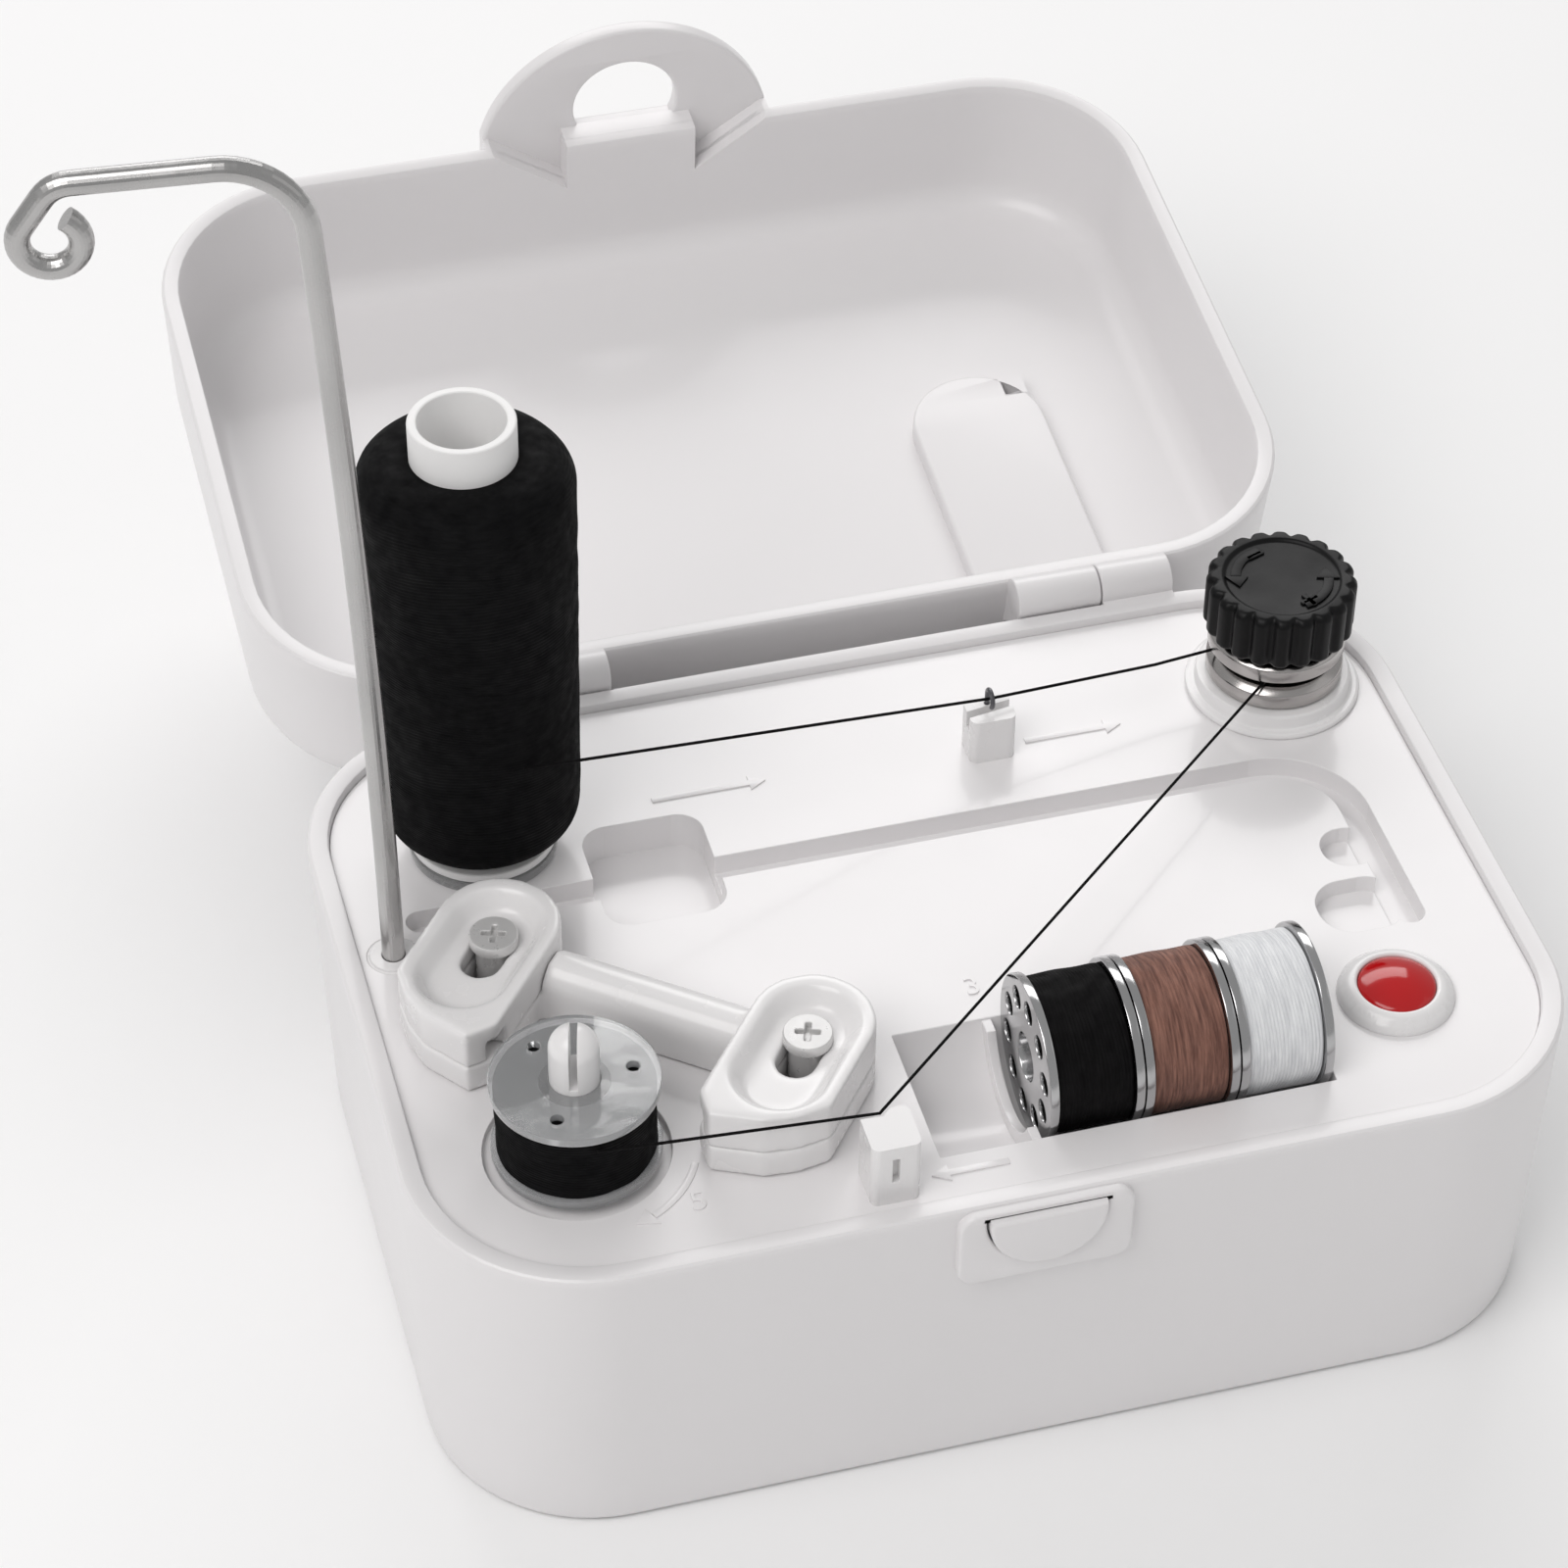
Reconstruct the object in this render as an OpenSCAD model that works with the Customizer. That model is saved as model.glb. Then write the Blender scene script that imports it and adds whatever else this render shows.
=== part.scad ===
// Portable electric bobbin winder in a hinged box, with its lid standing open.
// Origin: centre of the footprint, on the table. +X right along the front, +Y back, +Z up.

/* [Case] */
// Width of the case, left to right
case_w = 144; // [142:0.5:148]
// Depth of the case, front to back
case_d = 99.6; // [99:0.2:102]
// Height of the case rim above the table
case_h = 45; // [45:0.5:47]
// Radius of the upright corners
corner_r = 22.4; // [21:0.2:23]
// Thickness of the side walls
wall = 2.6; // [2.4:0.1:2.8]
// How far each side wall leans in from rim to base
draft = 1.4; // [0.8:0.1:1.6]

/* [Lid] */
// Height of the lid above the rim when closed
lid_h = 23.7; // [23:0.1:25]
// Angle by which the lid stands open
lid_open = 173; // [160:1:174]
// Radius of the hinge knuckles
knuckle_r = 2.9; // [2.7:0.1:2.9]
// Radius of the hinge pins
pin_r = 0.9; // [0.8:0.05:1.1]

/* [Deck] */
// Thickness of the deck plate
deck_t = 2.2; // [2:0.1:2.4]
// Depth of the groove that stores the wire guide
groove_depth = 3; // [2.6:0.1:3.2]
// Width of that groove
groove_w = 3.8; // [3.4:0.1:4]

/* [Bobbins] */
// Radius of a bobbin's flanges
bobbin_r = 10.15; // [10:0.05:10.2]
// Height of a bobbin over both flanges
bobbin_h = 11.7; // [11.4:0.1:11.7]
// Radius of the bobbin's centre hole
bobbin_bore_r = 3.05; // [3.02:0.01:3.1]

/* [Spool] */
// Radius of the thread wound on the spool
spool_r = 13; // [12:0.2:13.8]
// Height of the spool's tube above its flange
spool_h = 65.5; // [55:0.5:70]

/* [Wire guide] */
// Diameter of the guide's rod
rod_d = 2.8; // [2.8:0.1:3]
// Height of the arm above the deck
arm_z = 117.3; // [100:0.1:122]
// Reach of the arm from rod to hook
arm_reach = 28.1; // [24:0.1:32]
// Direction of the arm, from +X towards +Y
arm_turn = 170; // [150:1:200]

/* [Tension unit] */
// Radius of the tension knob
knob_r = 9.8; // [9.4:0.1:10]
// Number of flutes around the knob
knob_flutes = 20; // [16:1:24]

/* [Drive] */
// Radius of the pulley on the spindle
driven_r = 12; // [11:0.5:12]
// Radius of the pulley on the motor
motor_pulley_r = 4.4; // [4:0.1:4.8]

/* [Hidden] */
$fn = 64;
hull_fn = 32;
gap = 0.05;
deck_z = case_h - 1.2;
deck_low = deck_z - deck_t;
ledge_low = deck_low - 3;
base_t = 2.4;
inner_w = case_w - 2*wall;
inner_d = case_d - 2*wall;
inner_r = corner_r - wall;
hinge_y = case_d/2 + 2.6;
hinge_z = case_h + 0.9;
latch_z = case_h - 6.6;
lid_t = 2.5;
lid_top_t = 2.2;
lid_gap = 0.15;
// Raised pad inside the lid
pad_p = [39.5, 2.4];
pad_r = 9.6;
// Hinge knuckles, as distances from the middle plane
lid_knuckle = [27.8, 39.2];
case_knuckle = [39.4, 49.2];
relief_r = knuckle_r + 0.3;
// Places on the deck
spindle_p = [-50.7, -27.6];
motor_p = [-26, -2];
spool_p = [-50, 26.6];
guide_p = [-65, 9.6];
tension_p = [56.3, 30];
button_p = [51.5, -28.2];
rear_guide_p = [16.6, 27.3];
hook_r = 1.15;
front_guide_p = [-16.8, -42.2];
// Where the thread turns, from the middle of the front guide
front_bend = [-0.5, 2.75];
screw_posts = [[-33, -41.2], [60, -35.5], [-60, 35.5], [40, 40.8]];
foot_places = [[-51, -12], [51, -12], [-50, 30], [50, 30]];
// Bobbin tray: a cradle with its axis along X
tray_x = [-9.8, 39.6];
tray_axis = [-29.6, case_h + 1.9];
tray_r = 10.75;
store_x = 3.7;
store_pitch = 11.85;
// Pocket and groove for the wire guide
pocket_x = [-38.2, -22.6];
pocket_y = [7.4, 25.4];
groove_y = 14.6;
groove_x = 58.4;
groove_left = -60.5;
groove_front = -15;
groove_bend = 10;
// Stop yoke, in its own frame: u runs away from the spindle
yoke_turn = 51.5;
yoke_side = 20.6;
yoke_low = deck_z + gap;
yoke_seam = deck_z + 4.2;
yoke_top = deck_z + 9.9;
yoke_screw_u = 20.6;
dish_depth = 2.6;
yoke_slot = 3.6;
// Bobbin on the spindle
seat_z = deck_z + 0.5;
bobbin_top = seat_z + bobbin_h;
flange_t = 1.1;
hub_r = 4.2;
wound_r = 9.6;
// Belt drive levels
pulley_z = 29.6;
pulley_h = 4.8;
// Battery box
box_x = [-12, 46];
box_y = [-28, 18];
box_z = 18.8;
box_t = 1.2;
cell_r = 7.1;
cell_l = 50.2;
cell_y = [-19.6, -5, 9.6];
// Thread from the spool over both guides to the bobbin
thread_r = 0.2;
thread_gap_z = deck_z + 6.45;

// ---- shared shapes ----

// Rounded rectangle centred on the origin
module rounded(w, d, r) {
    square([w - 2*r, d], center = true);
    square([w, d - 2*r], center = true);
    for (sx = [-1, 1], sy = [-1, 1])
        translate([sx*(w/2 - r), sy*(d/2 - r)]) circle(r);
}

// Rounded rectangle between two corners
module rounded_box2d(x, y, r) {
    translate([(x[0] + x[1])/2, (y[0] + y[1])/2]) rounded(x[1] - x[0], y[1] - y[0], r);
}

// Slot with round ends, from u0 to u1 along X
module slot2d(u0, u1, r) {
    translate([u0, 0]) circle(r);
    translate([u1, 0]) circle(r);
    translate([u0, -r]) square([u1 - u0, 2*r]);
}

// Shell body whose outline shrinks by steps of [height, inset]
module stepped_hull(w, d, r, steps) {
    hull() for (s = steps)
        translate([0, 0, s[0]]) linear_extrude(0.01)
            rounded(w - 2*s[1], d - 2*s[1], max(r - s[1], 4), $fn = hull_fn*2);
}

// Tube between two radii
module tube(r_out, r_in, h) {
    linear_extrude(h) difference() {
        circle(r_out);
        circle(r_in);
    }
}

// Close-wound coil of round wire around Z
function helix(r, pitch, turns, n) =
    [for (i = [0:n]) let (a = 360*turns*i/n) [r*cos(a), r*sin(a), pitch*turns*i/n]];

// Unit vector
function unit(v) = v/norm(v);

// Sideways direction for a ring on a path
function side(t) = unit(cross(t, abs(t[2]) > 0.95 ? [1, 0, 0] : [0, 0, 1]));

// Round tube along a list of points; a flat path may give the direction across its plane
module sweep(path, r, sides = 8, across = [0, 0, 0]) {
    n = len(path);
    tangent = [for (i = [0:n-1]) unit(path[min(i + 1, n - 1)] - path[max(i - 1, 0)])];
    rings = [for (i = [0:n-1])
        let (s = norm(across) > 0 ? across : side(tangent[i]), u = cross(s, tangent[i]))
        for (k = [0:sides-1]) path[i] + r*(cos(360*k/sides)*s + sin(360*k/sides)*u)];
    walls = [for (i = [0:n-2], k = [0:sides-1]) let (a = i*sides + k, b = i*sides + (k + 1)%sides)
        [a, b, b + sides, a + sides]];
    ends = [[for (k = [sides-1:-1:0]) k], [for (k = [0:sides-1]) (n - 1)*sides + k]];
    polyhedron(rings, concat(walls, ends));
}

// Frame of the stop yoke: X runs away from the spindle
module at_yoke() {
    translate([spindle_p[0], spindle_p[1], 0]) rotate([0, 0, yoke_turn]) children();
}

// Swings children from the lid's closed place to its open place
module opened() {
    translate([0, hinge_y, hinge_z]) rotate([-lid_open, 0, 0])
        translate([0, -hinge_y, -hinge_z]) children();
}

// Cylinder along X between two distances, on both sides of the middle plane
module both_knuckles(range, r, y = hinge_y, z = hinge_z) {
    for (s = [-1, 1])
        translate([s*(range[0] + range[1])/2, y, z]) rotate([0, 90, 0])
            cylinder(r = r, h = range[1] - range[0], center = true);
}

// Prism along X on both sides, from an outline in Y and Z
module both_webs(range, outline) {
    for (s = [-1, 1])
        translate([s*(range[0] + range[1])/2, 0, 0]) rotate([90, 0, 90])
            linear_extrude(range[1] - range[0], center = true) polygon(outline);
}

// Half-moon with a flat top, standing in the XZ plane, thick along Y from y0 to y1
module half_moon(r, flat_z, centre_z, y0, y1) {
    translate([0, y1, 0]) rotate([90, 0, 0]) linear_extrude(y1 - y0) intersection() {
        translate([0, centre_z]) circle(r);
        translate([-r, centre_z - r]) square([2*r, flat_z - centre_z + r]);
    }
}

// Countersunk-free pan screw standing head down at z = 0
module pan_screw(head_r, head_h, shank_r, length) {
    cylinder(r = head_r, h = head_h);
    cylinder(r = shank_r, h = head_h + length);
}

// ---- case ----

module lower_case() {
    web = [[case_d/2 - 1.8, case_h - 8], [case_d/2 - 0.4, case_h - 8],
        [hinge_y + 2.2, hinge_z - 1.9], [hinge_y, hinge_z], [case_d/2 - 1.8, case_h]];
    color("white") difference() {
        union() {
            stepped_hull(case_w, case_d, corner_r, [[0, draft], [case_h - 0.01, 0]]);
            both_webs(case_knuckle, web);
            both_knuckles(case_knuckle, knuckle_r);
            latch_boss();
        }
        stepped_hull(inner_w, inner_d, inner_r, [[-0.1, draft], [ledge_low, 0.1]]);
        translate([0, 0, ledge_low - 0.1]) linear_extrude(4)
            rounded(inner_w - 4, inner_d - 4, inner_r - 2);
        translate([0, 0, deck_low]) linear_extrude(10) rounded(inner_w, inner_d, inner_r);
        both_knuckles([lid_knuckle[0] - 0.3, lid_knuckle[1] + 0.1], relief_r);
        both_knuckles(case_knuckle + [-1, 1], pin_r);
        translate([guide_p[0], guide_p[1], ledge_low - 0.3]) cylinder(r = 4.15, h = 3.7);
        latch_recess();
    }
}

module latch_boss() {
    translate([0, -case_d/2 + 1, case_h - 6.1]) rotate([90, 0, 0])
        linear_extrude(2.2) rounded(21.4, 11.4, 2.2);
}

module latch_recess() {
    half_moon(7.4, case_h - 0.8, case_h - 1.9, -case_d/2 - 2, -case_d/2 + 1);
    translate([0, -case_d/2, latch_z]) rotate([-90, 0, 0])
        cylinder(r = 2.4, h = 12, $fn = 32);
    translate([-4.4, -case_d/2 + wall, case_h - 11.6]) cube([8.8, 3, 8.2]);
}

module base_plate() {
    color("gainsboro") difference() {
        union() {
            linear_extrude(base_t)
                rounded(inner_w - 2*draft - 0.4, inner_d - 2*draft - 0.4, inner_r - draft);
            translate([button_p[0], button_p[1], base_t]) cylinder(r = 4, h = 27 - base_t);
        }
        translate([0, 0, -1]) linear_extrude(5) translate([17, -5]) square([54, 42], center = true);
        translate([17, 18, 0.2]) cube([10.6, 11.6, 2.4], center = true);
        translate([17, 20, -1]) cylinder(r = 1.25, h = 5);
        for (p = screw_posts) translate([p[0], p[1], 0]) {
            translate([0, 0, -1]) cylinder(r = 1.7, h = 6);
            translate([0, 0, -1]) cylinder(r = 3.2, h = 2.4);
        }
        for (p = foot_places) translate([p[0], p[1], -1]) cylinder(r = 5, h = 2.2);
    }
}

module base_screws() {
    color("silver") for (p = screw_posts)
        translate([p[0], p[1], 0.3]) pan_screw(2.8, 1.1, 1.4, 9);
}

module rubber_feet() {
    color("dimgray") for (p = foot_places) translate([p[0], p[1], 0]) cylinder(r = 5, h = 1.2);
}

module battery_door() {
    color("gainsboro") difference() {
        union() {
            translate([17, -5, 0.3]) linear_extrude(1.7) rounded(53.4, 41.4, 1);
            translate([12, 14, 0.3]) cube([10, 9.4, 1]);
        }
        translate([17, 20, -1]) cylinder(r = 1.3, h = 5);
        translate([17, 20, -0.1]) cylinder(r = 2.3, h = 1);
        for (i = [-2:2]) translate([17 + 4*i, -19, 0]) cube([1.2, 9, 1.2], center = true);
    }
}

module door_screw() {
    color("silver") translate([17, 20, 0.2]) pan_screw(2.2, 0.6, 1.2, 2.2);
}

module battery_box() {
    color("gainsboro") difference() {
        translate([box_x[0], box_y[0], base_t])
            cube([box_x[1] - box_x[0], box_y[1] - box_y[0], box_z - base_t]);
        translate([box_x[0] + box_t, box_y[0] + box_t, base_t - 1])
            cube([box_x[1] - box_x[0] - 2*box_t, box_y[1] - box_y[0] - 2*box_t, box_z - base_t - 0.2]);
    }
}

module battery_cells() {
    color("seagreen") for (i = [0:2]) translate([17 - cell_l/2, cell_y[i], 2.3 + cell_r])
        rotate([0, 90, 0]) {
            cylinder(r = cell_r, h = cell_l - 1.4);
            cylinder(r = 2.7, h = cell_l);
        }
}

module battery_contacts() {
    color("silver") for (s = [-1, 1], y = cell_y)
        translate([17 + s*27.2, y, 9.4]) {
            cube([0.8, 9, 9], center = true);
            translate([-s*0.8, 0, 0]) rotate([0, 90, 0]) cylinder(r = 2.5, h = 1.2, center = true);
        }
}

// ---- deck ----

module groove2d(w) {
    bend_x = groove_x - groove_bend;
    bend_y = groove_y - groove_bend;
    translate([groove_left, groove_y]) circle(w/2);
    translate([groove_left, groove_y - w/2]) square([bend_x - groove_left, w]);
    translate([groove_x, groove_front]) circle(w/2);
    translate([groove_x - w/2, groove_front]) square([w, bend_y - groove_front]);
    intersection() {
        translate([bend_x, bend_y]) difference() {
            circle(groove_bend + w/2);
            circle(groove_bend - w/2);
        }
        translate([bend_x, bend_y]) square(groove_bend + w);
    }
}

module finger_scoops2d() {
    rounded_box2d([51.6, groove_x], [-5.4, 1.4], 3.2);
    rounded_box2d([47.4, groove_x], [-16.8, -7.6], 4.2);
}

module cradle(r, x0, x1) {
    translate([x0, tray_axis[0], tray_axis[1]]) rotate([0, 90, 0]) cylinder(r = r, h = x1 - x0);
}

module deck_undersides() {
    // Tray block, pocket block, groove rib and the posts that take the base screws
    translate([tray_x[0] - 2, tray_axis[0] - 11.9, 34.4])
        cube([tray_x[1] - tray_x[0] + 4, 23.8, deck_low - 34]);
    translate([0, 0, 34.8]) linear_extrude(deck_low - 34.4)
        rounded_box2d(pocket_x + [-1.6, 1.6], pocket_y + [-1.6, 1.6], 4.6);
    translate([0, 0, deck_z - groove_depth - 1.4]) linear_extrude(3) {
        groove2d(groove_w + 3);
        rounded_box2d([45.8, 62], [-18.4, 3], 4);
    }
    for (p = screw_posts) translate([p[0], p[1], base_t]) cylinder(r = 3.6, h = deck_low - 2);
    translate([spindle_p[0], spindle_p[1], 36.4]) cylinder(r = 5.4, h = 6);
    translate([guide_p[0], guide_p[1], 31]) cylinder(r = 3.9, h = deck_low - 30.6);
    at_yoke() for (s = [-1, 1]) translate([yoke_screw_u, s*yoke_side, 35])
        cylinder(r = 3.2, h = deck_low - 34.6);
}

module deck_plate() {
    color("white") difference() {
        union() {
            translate([0, 0, deck_low]) linear_extrude(deck_t)
                rounded(inner_w - 0.5, inner_d - 0.5, inner_r - 0.25);
            deck_undersides();
        }
        cradle(tray_r, tray_x[0], tray_x[1]);
        translate([0, 0, deck_z - groove_depth]) linear_extrude(5) groove2d(groove_w);
        translate([0, 0, deck_z - 2.5]) linear_extrude(5) finger_scoops2d();
        translate([0, 0, deck_z - 5.4]) linear_extrude(8) rounded_box2d(pocket_x, pocket_y, 3.4);
        translate([spindle_p[0], spindle_p[1], 0]) {
            translate([0, 0, deck_z - 1]) cylinder(r = 11.2, h = 3);
            cylinder(r = 3.5, h = 60);
        }
        translate([guide_p[0], guide_p[1], 32]) cylinder(r = 3.3, h = 20);
        translate([spool_p[0], spool_p[1], 0]) cylinder(r = 3, h = 60);
        translate([tension_p[0], tension_p[1], 0]) cylinder(r = 2.02, h = 60);
        translate([button_p[0], button_p[1], 0]) cylinder(r = 6.2, h = 60);
        at_yoke() {
            for (s = [-1, 1]) translate([yoke_screw_u, s*yoke_side, 36]) cylinder(r = 1.5, h = 20);
            translate([0, 0, 30]) linear_extrude(20)
                slot2d(yoke_screw_u, yoke_screw_u + yoke_slot, 1.8);
        }
        for (p = screw_posts) translate([p[0], p[1], 0]) cylinder(r = 1.4, h = 11);
    }
    color("white") translate([store_x - 2.2, 0, 0]) intersection() {
        translate([0, tray_axis[0] - 12, 35]) cube([1.2, 24, deck_z - 35.2]);
        difference() {
            cradle(tray_r + 0.4, 0, 1.2);
            cradle(tray_r - 2, -1, 3);
        }
    }
}

// ---- lid ----

module lid() {
    color("white") opened() lid_closed();
}

module lid_closed() {
    low = case_h + lid_gap;
    top = case_h + lid_h;
    web = [[case_d/2 - 1.6, low + 0.2], [hinge_y, hinge_z - 0.4], [hinge_y + 2.2, hinge_z + 1.9],
        [case_d/2 - 0.4, low + 8], [case_d/2 - 1.6, low + 8]];
    difference() {
        union() {
            stepped_hull(case_w, case_d, corner_r,
                [[low, 0], [top - 4.6, 0.8], [top - 1.8, 2], [top - 0.5, 4], [top - 0.01, 6.4]]);
            both_webs(lid_knuckle, web);
            both_knuckles(lid_knuckle, knuckle_r);
            latch_flap(low);
        }
        stepped_hull(case_w - 2*lid_t, case_d - 2*lid_t, corner_r - lid_t,
            [[low - 0.1, 0], [top - 5.2, 0.8], [top - 3.2, 2.4], [top - lid_top_t, 5]]);
        both_knuckles([case_knuckle[0] - 0.1, case_knuckle[1] + 0.3], relief_r);
        both_knuckles(lid_knuckle + [-1, 1], pin_r + gap);
        latch_notches(low);
    }
    lid_pad(top - lid_top_t);
}

// Half-moon latch flap that hangs in front of the case when the lid is closed
module latch_flap(low) {
    flap_r = 21.9;
    front = -case_d/2 - 4.1;
    difference() {
        union() {
            intersection() {
                half_moon(flap_r, low + 9, low + 5.6, front, front + 2.4);
                translate([-21.2, front - 1, 0]) cube([42.4, 5, 60]);
            }
            translate([-21.2, front + 2, low]) cube([42.4, 3.2, 9]);
            translate([-21.2, front, low]) cube([42.4, 2.4, 9]);
        }
        half_moon(7.6, low + 0.4, low - 2.8, front - 1, front + 3);
    }
}

// Sloping cuts that leave a square catch block in the middle of the lid's front wall
module latch_notches(low) {
    for (s = [-1, 1]) translate([0, -case_d/2 + lid_t + 1, 0]) rotate([90, 0, 0])
        linear_extrude(lid_t + 2.7) polygon([[s*20.4, low - 1], [s*20.4, low],
            [s*9.6, low + 7.6], [s*9.6, low - 1]]);
}

// Raised pad on the inside of the lid, with a small square notch
module lid_pad(ceiling) {
    translate([0, 0, ceiling - 2.6]) linear_extrude(2.7) difference() {
        union() {
            translate([pad_p[0], pad_p[1]]) circle(pad_r);
            translate([pad_p[0] - pad_r, pad_p[1]]) square([2*pad_r, 42 - pad_p[1]]);
        }
        translate([pad_p[0] + 5.4, pad_p[1] - 7.6]) square([2.6, 2.6]);
    }
}

module hinge_pins() {
    color("silver") both_knuckles([lid_knuckle[0] + 0.8, case_knuckle[1] - 0.8], pin_r);
}

module latch_pad() {
    front = -case_d/2 - 2.2;
    color("white") {
        half_moon(7.2, case_h - 1, case_h - 1.95, front, front + 2);
        translate([0, front + 1.6, latch_z]) rotate([-90, 0, 0]) cylinder(r = 2.3, h = 4.4);
        translate([0, -case_d/2 + wall + 0.3, latch_z]) rotate([-90, 0, 0])
            cylinder(r = 3, h = 1);
    }
}

module latch_spring() {
    color("silver") translate([0, tray_axis[0] - 12.25, latch_z]) rotate([90, 0, 0])
        sweep(helix(2.4, 0.8, 3, 48), 0.3);
}

// ---- drive ----

module motor_can() {
    color("silver") translate([motor_p[0], motor_p[1], 0]) difference() {
        union() {
            intersection() {
                translate([0, 0, 6]) cylinder(r = 10, h = 22.4);
                translate([-10, -7.7, 6]) cube([20, 15.4, 22.4]);
            }
            translate([0, 0, 28.4]) cylinder(r = 3, h = 0.8);
        }
        translate([0, 0, 26]) cylinder(r = 1.05, h = 5);
    }
}

module motor_end_cap() {
    color("black") translate([motor_p[0], motor_p[1], 3.6]) intersection() {
        cylinder(r = 9.8, h = 2.4);
        translate([-10, -7.5, 0]) cube([20, 15, 2.4]);
    }
}

module motor_shaft() {
    color("silver") translate([motor_p[0], motor_p[1], 26.4]) cylinder(r = 1, h = 8.6);
}

// Pulley with a flat-bottomed groove for the belt
module pulley(r, groove, bore) {
    rotate_extrude() polygon([[bore, 0], [r, 0], [r, 0.9], [groove, 1.6], [groove, pulley_h - 1.6],
        [r, pulley_h - 0.9], [r, pulley_h], [bore, pulley_h]]);
}

module motor_pulley() {
    color("gold") translate([motor_p[0], motor_p[1], pulley_z])
        pulley(motor_pulley_r, motor_pulley_r - 1.4, 1);
}

module motor_saddle() {
    color("gainsboro") translate([motor_p[0], motor_p[1], base_t]) difference() {
        union() {
            translate([-12, -9.4, 0]) cube([24, 18.8, 11]);
            translate([-6, -14, 0]) cube([12, 28, 2]);
        }
        intersection() {
            translate([0, 0, 1.2]) cylinder(r = 10, h = 20);
            translate([-10, -7.7, 1.2]) cube([20, 15.4, 20]);
        }
        for (s = [-1, 1]) translate([0, s*11.8, -1]) cylinder(r = 1.3, h = 5);
    }
}

module saddle_screws() {
    color("silver") for (s = [-1, 1])
        translate([motor_p[0], motor_p[1] + s*11.8, base_t + 3.2]) rotate([180, 0, 0])
            pan_screw(2, 1.2, 1.2, 2);
}

module belt2d(extra) {
    hull() {
        translate(spindle_p) circle(driven_r - 1.4 + extra, $fn = hull_fn*2);
        translate(motor_p) circle(motor_pulley_r - 1.4 + extra, $fn = hull_fn*2);
    }
}

module drive_belt() {
    color("black") translate([0, 0, pulley_z + 1.8]) linear_extrude(pulley_h - 3.6) difference() {
        belt2d(1.5);
        belt2d(0.3);
    }
}

module driven_pulley() {
    color("white") translate([spindle_p[0], spindle_p[1], pulley_z])
        pulley(driven_r, driven_r - 1.4, 2.01);
}

module spindle_shaft() {
    color("silver") translate([spindle_p[0], spindle_p[1], 3.4]) cylinder(r = 2, h = 52);
}

module spindle_bush() {
    color("gold") translate([spindle_p[0], spindle_p[1], 36.4]) tube(3.5, 2 + gap, 6);
}

module spindle_foot() {
    color("gold") translate([spindle_p[0], spindle_p[1], base_t]) difference() {
        cylinder(r = 4.5, h = 6.6);
        translate([0, 0, 0.8]) cylinder(r = 2 + gap, h = 8);
    }
}

module spindle_tip() {
    slot_w = 1;
    color("white") translate([spindle_p[0], spindle_p[1], 0]) difference() {
        union() {
            translate([0, 0, deck_z - 0.8]) cylinder(r = 5, h = seat_z - deck_z + 0.8);
            translate([0, 0, deck_z - 0.8]) cylinder(r = 3, h = bobbin_top - deck_z + 5.6);
            translate([0, 0, bobbin_top + 4.8]) sphere(r = 3);
        }
        translate([0, 0, 30]) cylinder(r = 2, h = 25.4);
        rotate([0, 0, -15]) translate([-slot_w/2, -5, bobbin_top + 0.6]) cube([slot_w, 10, 12]);
    }
}

// ---- bobbins ----

// Empty bobbin standing on z = 0, with a ring of small holes in each flange
module bobbin_shape(holes, hole_r, hole_ring) {
    difference() {
        union() {
            cylinder(r = bobbin_r, h = flange_t);
            cylinder(r = hub_r, h = bobbin_h);
            translate([0, 0, bobbin_h - flange_t]) cylinder(r = bobbin_r, h = flange_t);
        }
        translate([0, 0, -1]) cylinder(r = bobbin_bore_r, h = bobbin_h + 2);
        for (z = [-1, bobbin_h - flange_t - 0.5], i = [0:holes-1])
            rotate([0, 0, 360*i/holes]) translate([hole_ring, 0, z])
                cylinder(r = hole_r, h = flange_t + 1.5, $fn = 24);
    }
}

// Thread wound between a bobbin's flanges
module wound_thread() {
    translate([0, 0, flange_t + 0.05])
        tube(wound_r, hub_r + 0.02, bobbin_h - 2*flange_t - 0.1);
}

module bobbin() {
    color([0.85, 0.87, 0.9]) translate([spindle_p[0], spindle_p[1], seat_z])
        bobbin_shape(3, 0.8, 7);
}

module bobbin_thread() {
    color("black") translate([spindle_p[0], spindle_p[1], seat_z]) wound_thread();
}

// Place of stored bobbin i in the tray, axis along X
module in_tray(i) {
    translate([store_x + i*store_pitch, tray_axis[0], tray_axis[1]]) rotate([0, 90, 0]) children();
}

module stored_bobbin(i) {
    color("silver") in_tray(i) bobbin_shape(10, 1.45, 7.3);
}

module stored_thread(i, shade) {
    color(shade) in_tray(i) wound_thread();
}

// ---- spool ----

module spool_post() {
    color("white") translate([spool_p[0], spool_p[1], 0]) {
        translate([0, 0, deck_low - 1.6]) cylinder(r = 3, h = 6);
        translate([0, 0, deck_z + 1.5]) cylinder(r = 5.2, h = 22);
        translate([0, 0, deck_z + 23.5]) cylinder(r = 4.4, h = 1);
    }
}

module spool_pad() {
    color("whitesmoke") translate([spool_p[0], spool_p[1], deck_z]) tube(9.4, 3, 1.5);
}

module spool_tube() {
    color("white") translate([spool_p[0], spool_p[1], deck_z + 1.7]) {
        tube(6.45, 5.26, spool_h);
        tube(9.3, 5.26, 1.2);
    }
}

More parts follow.
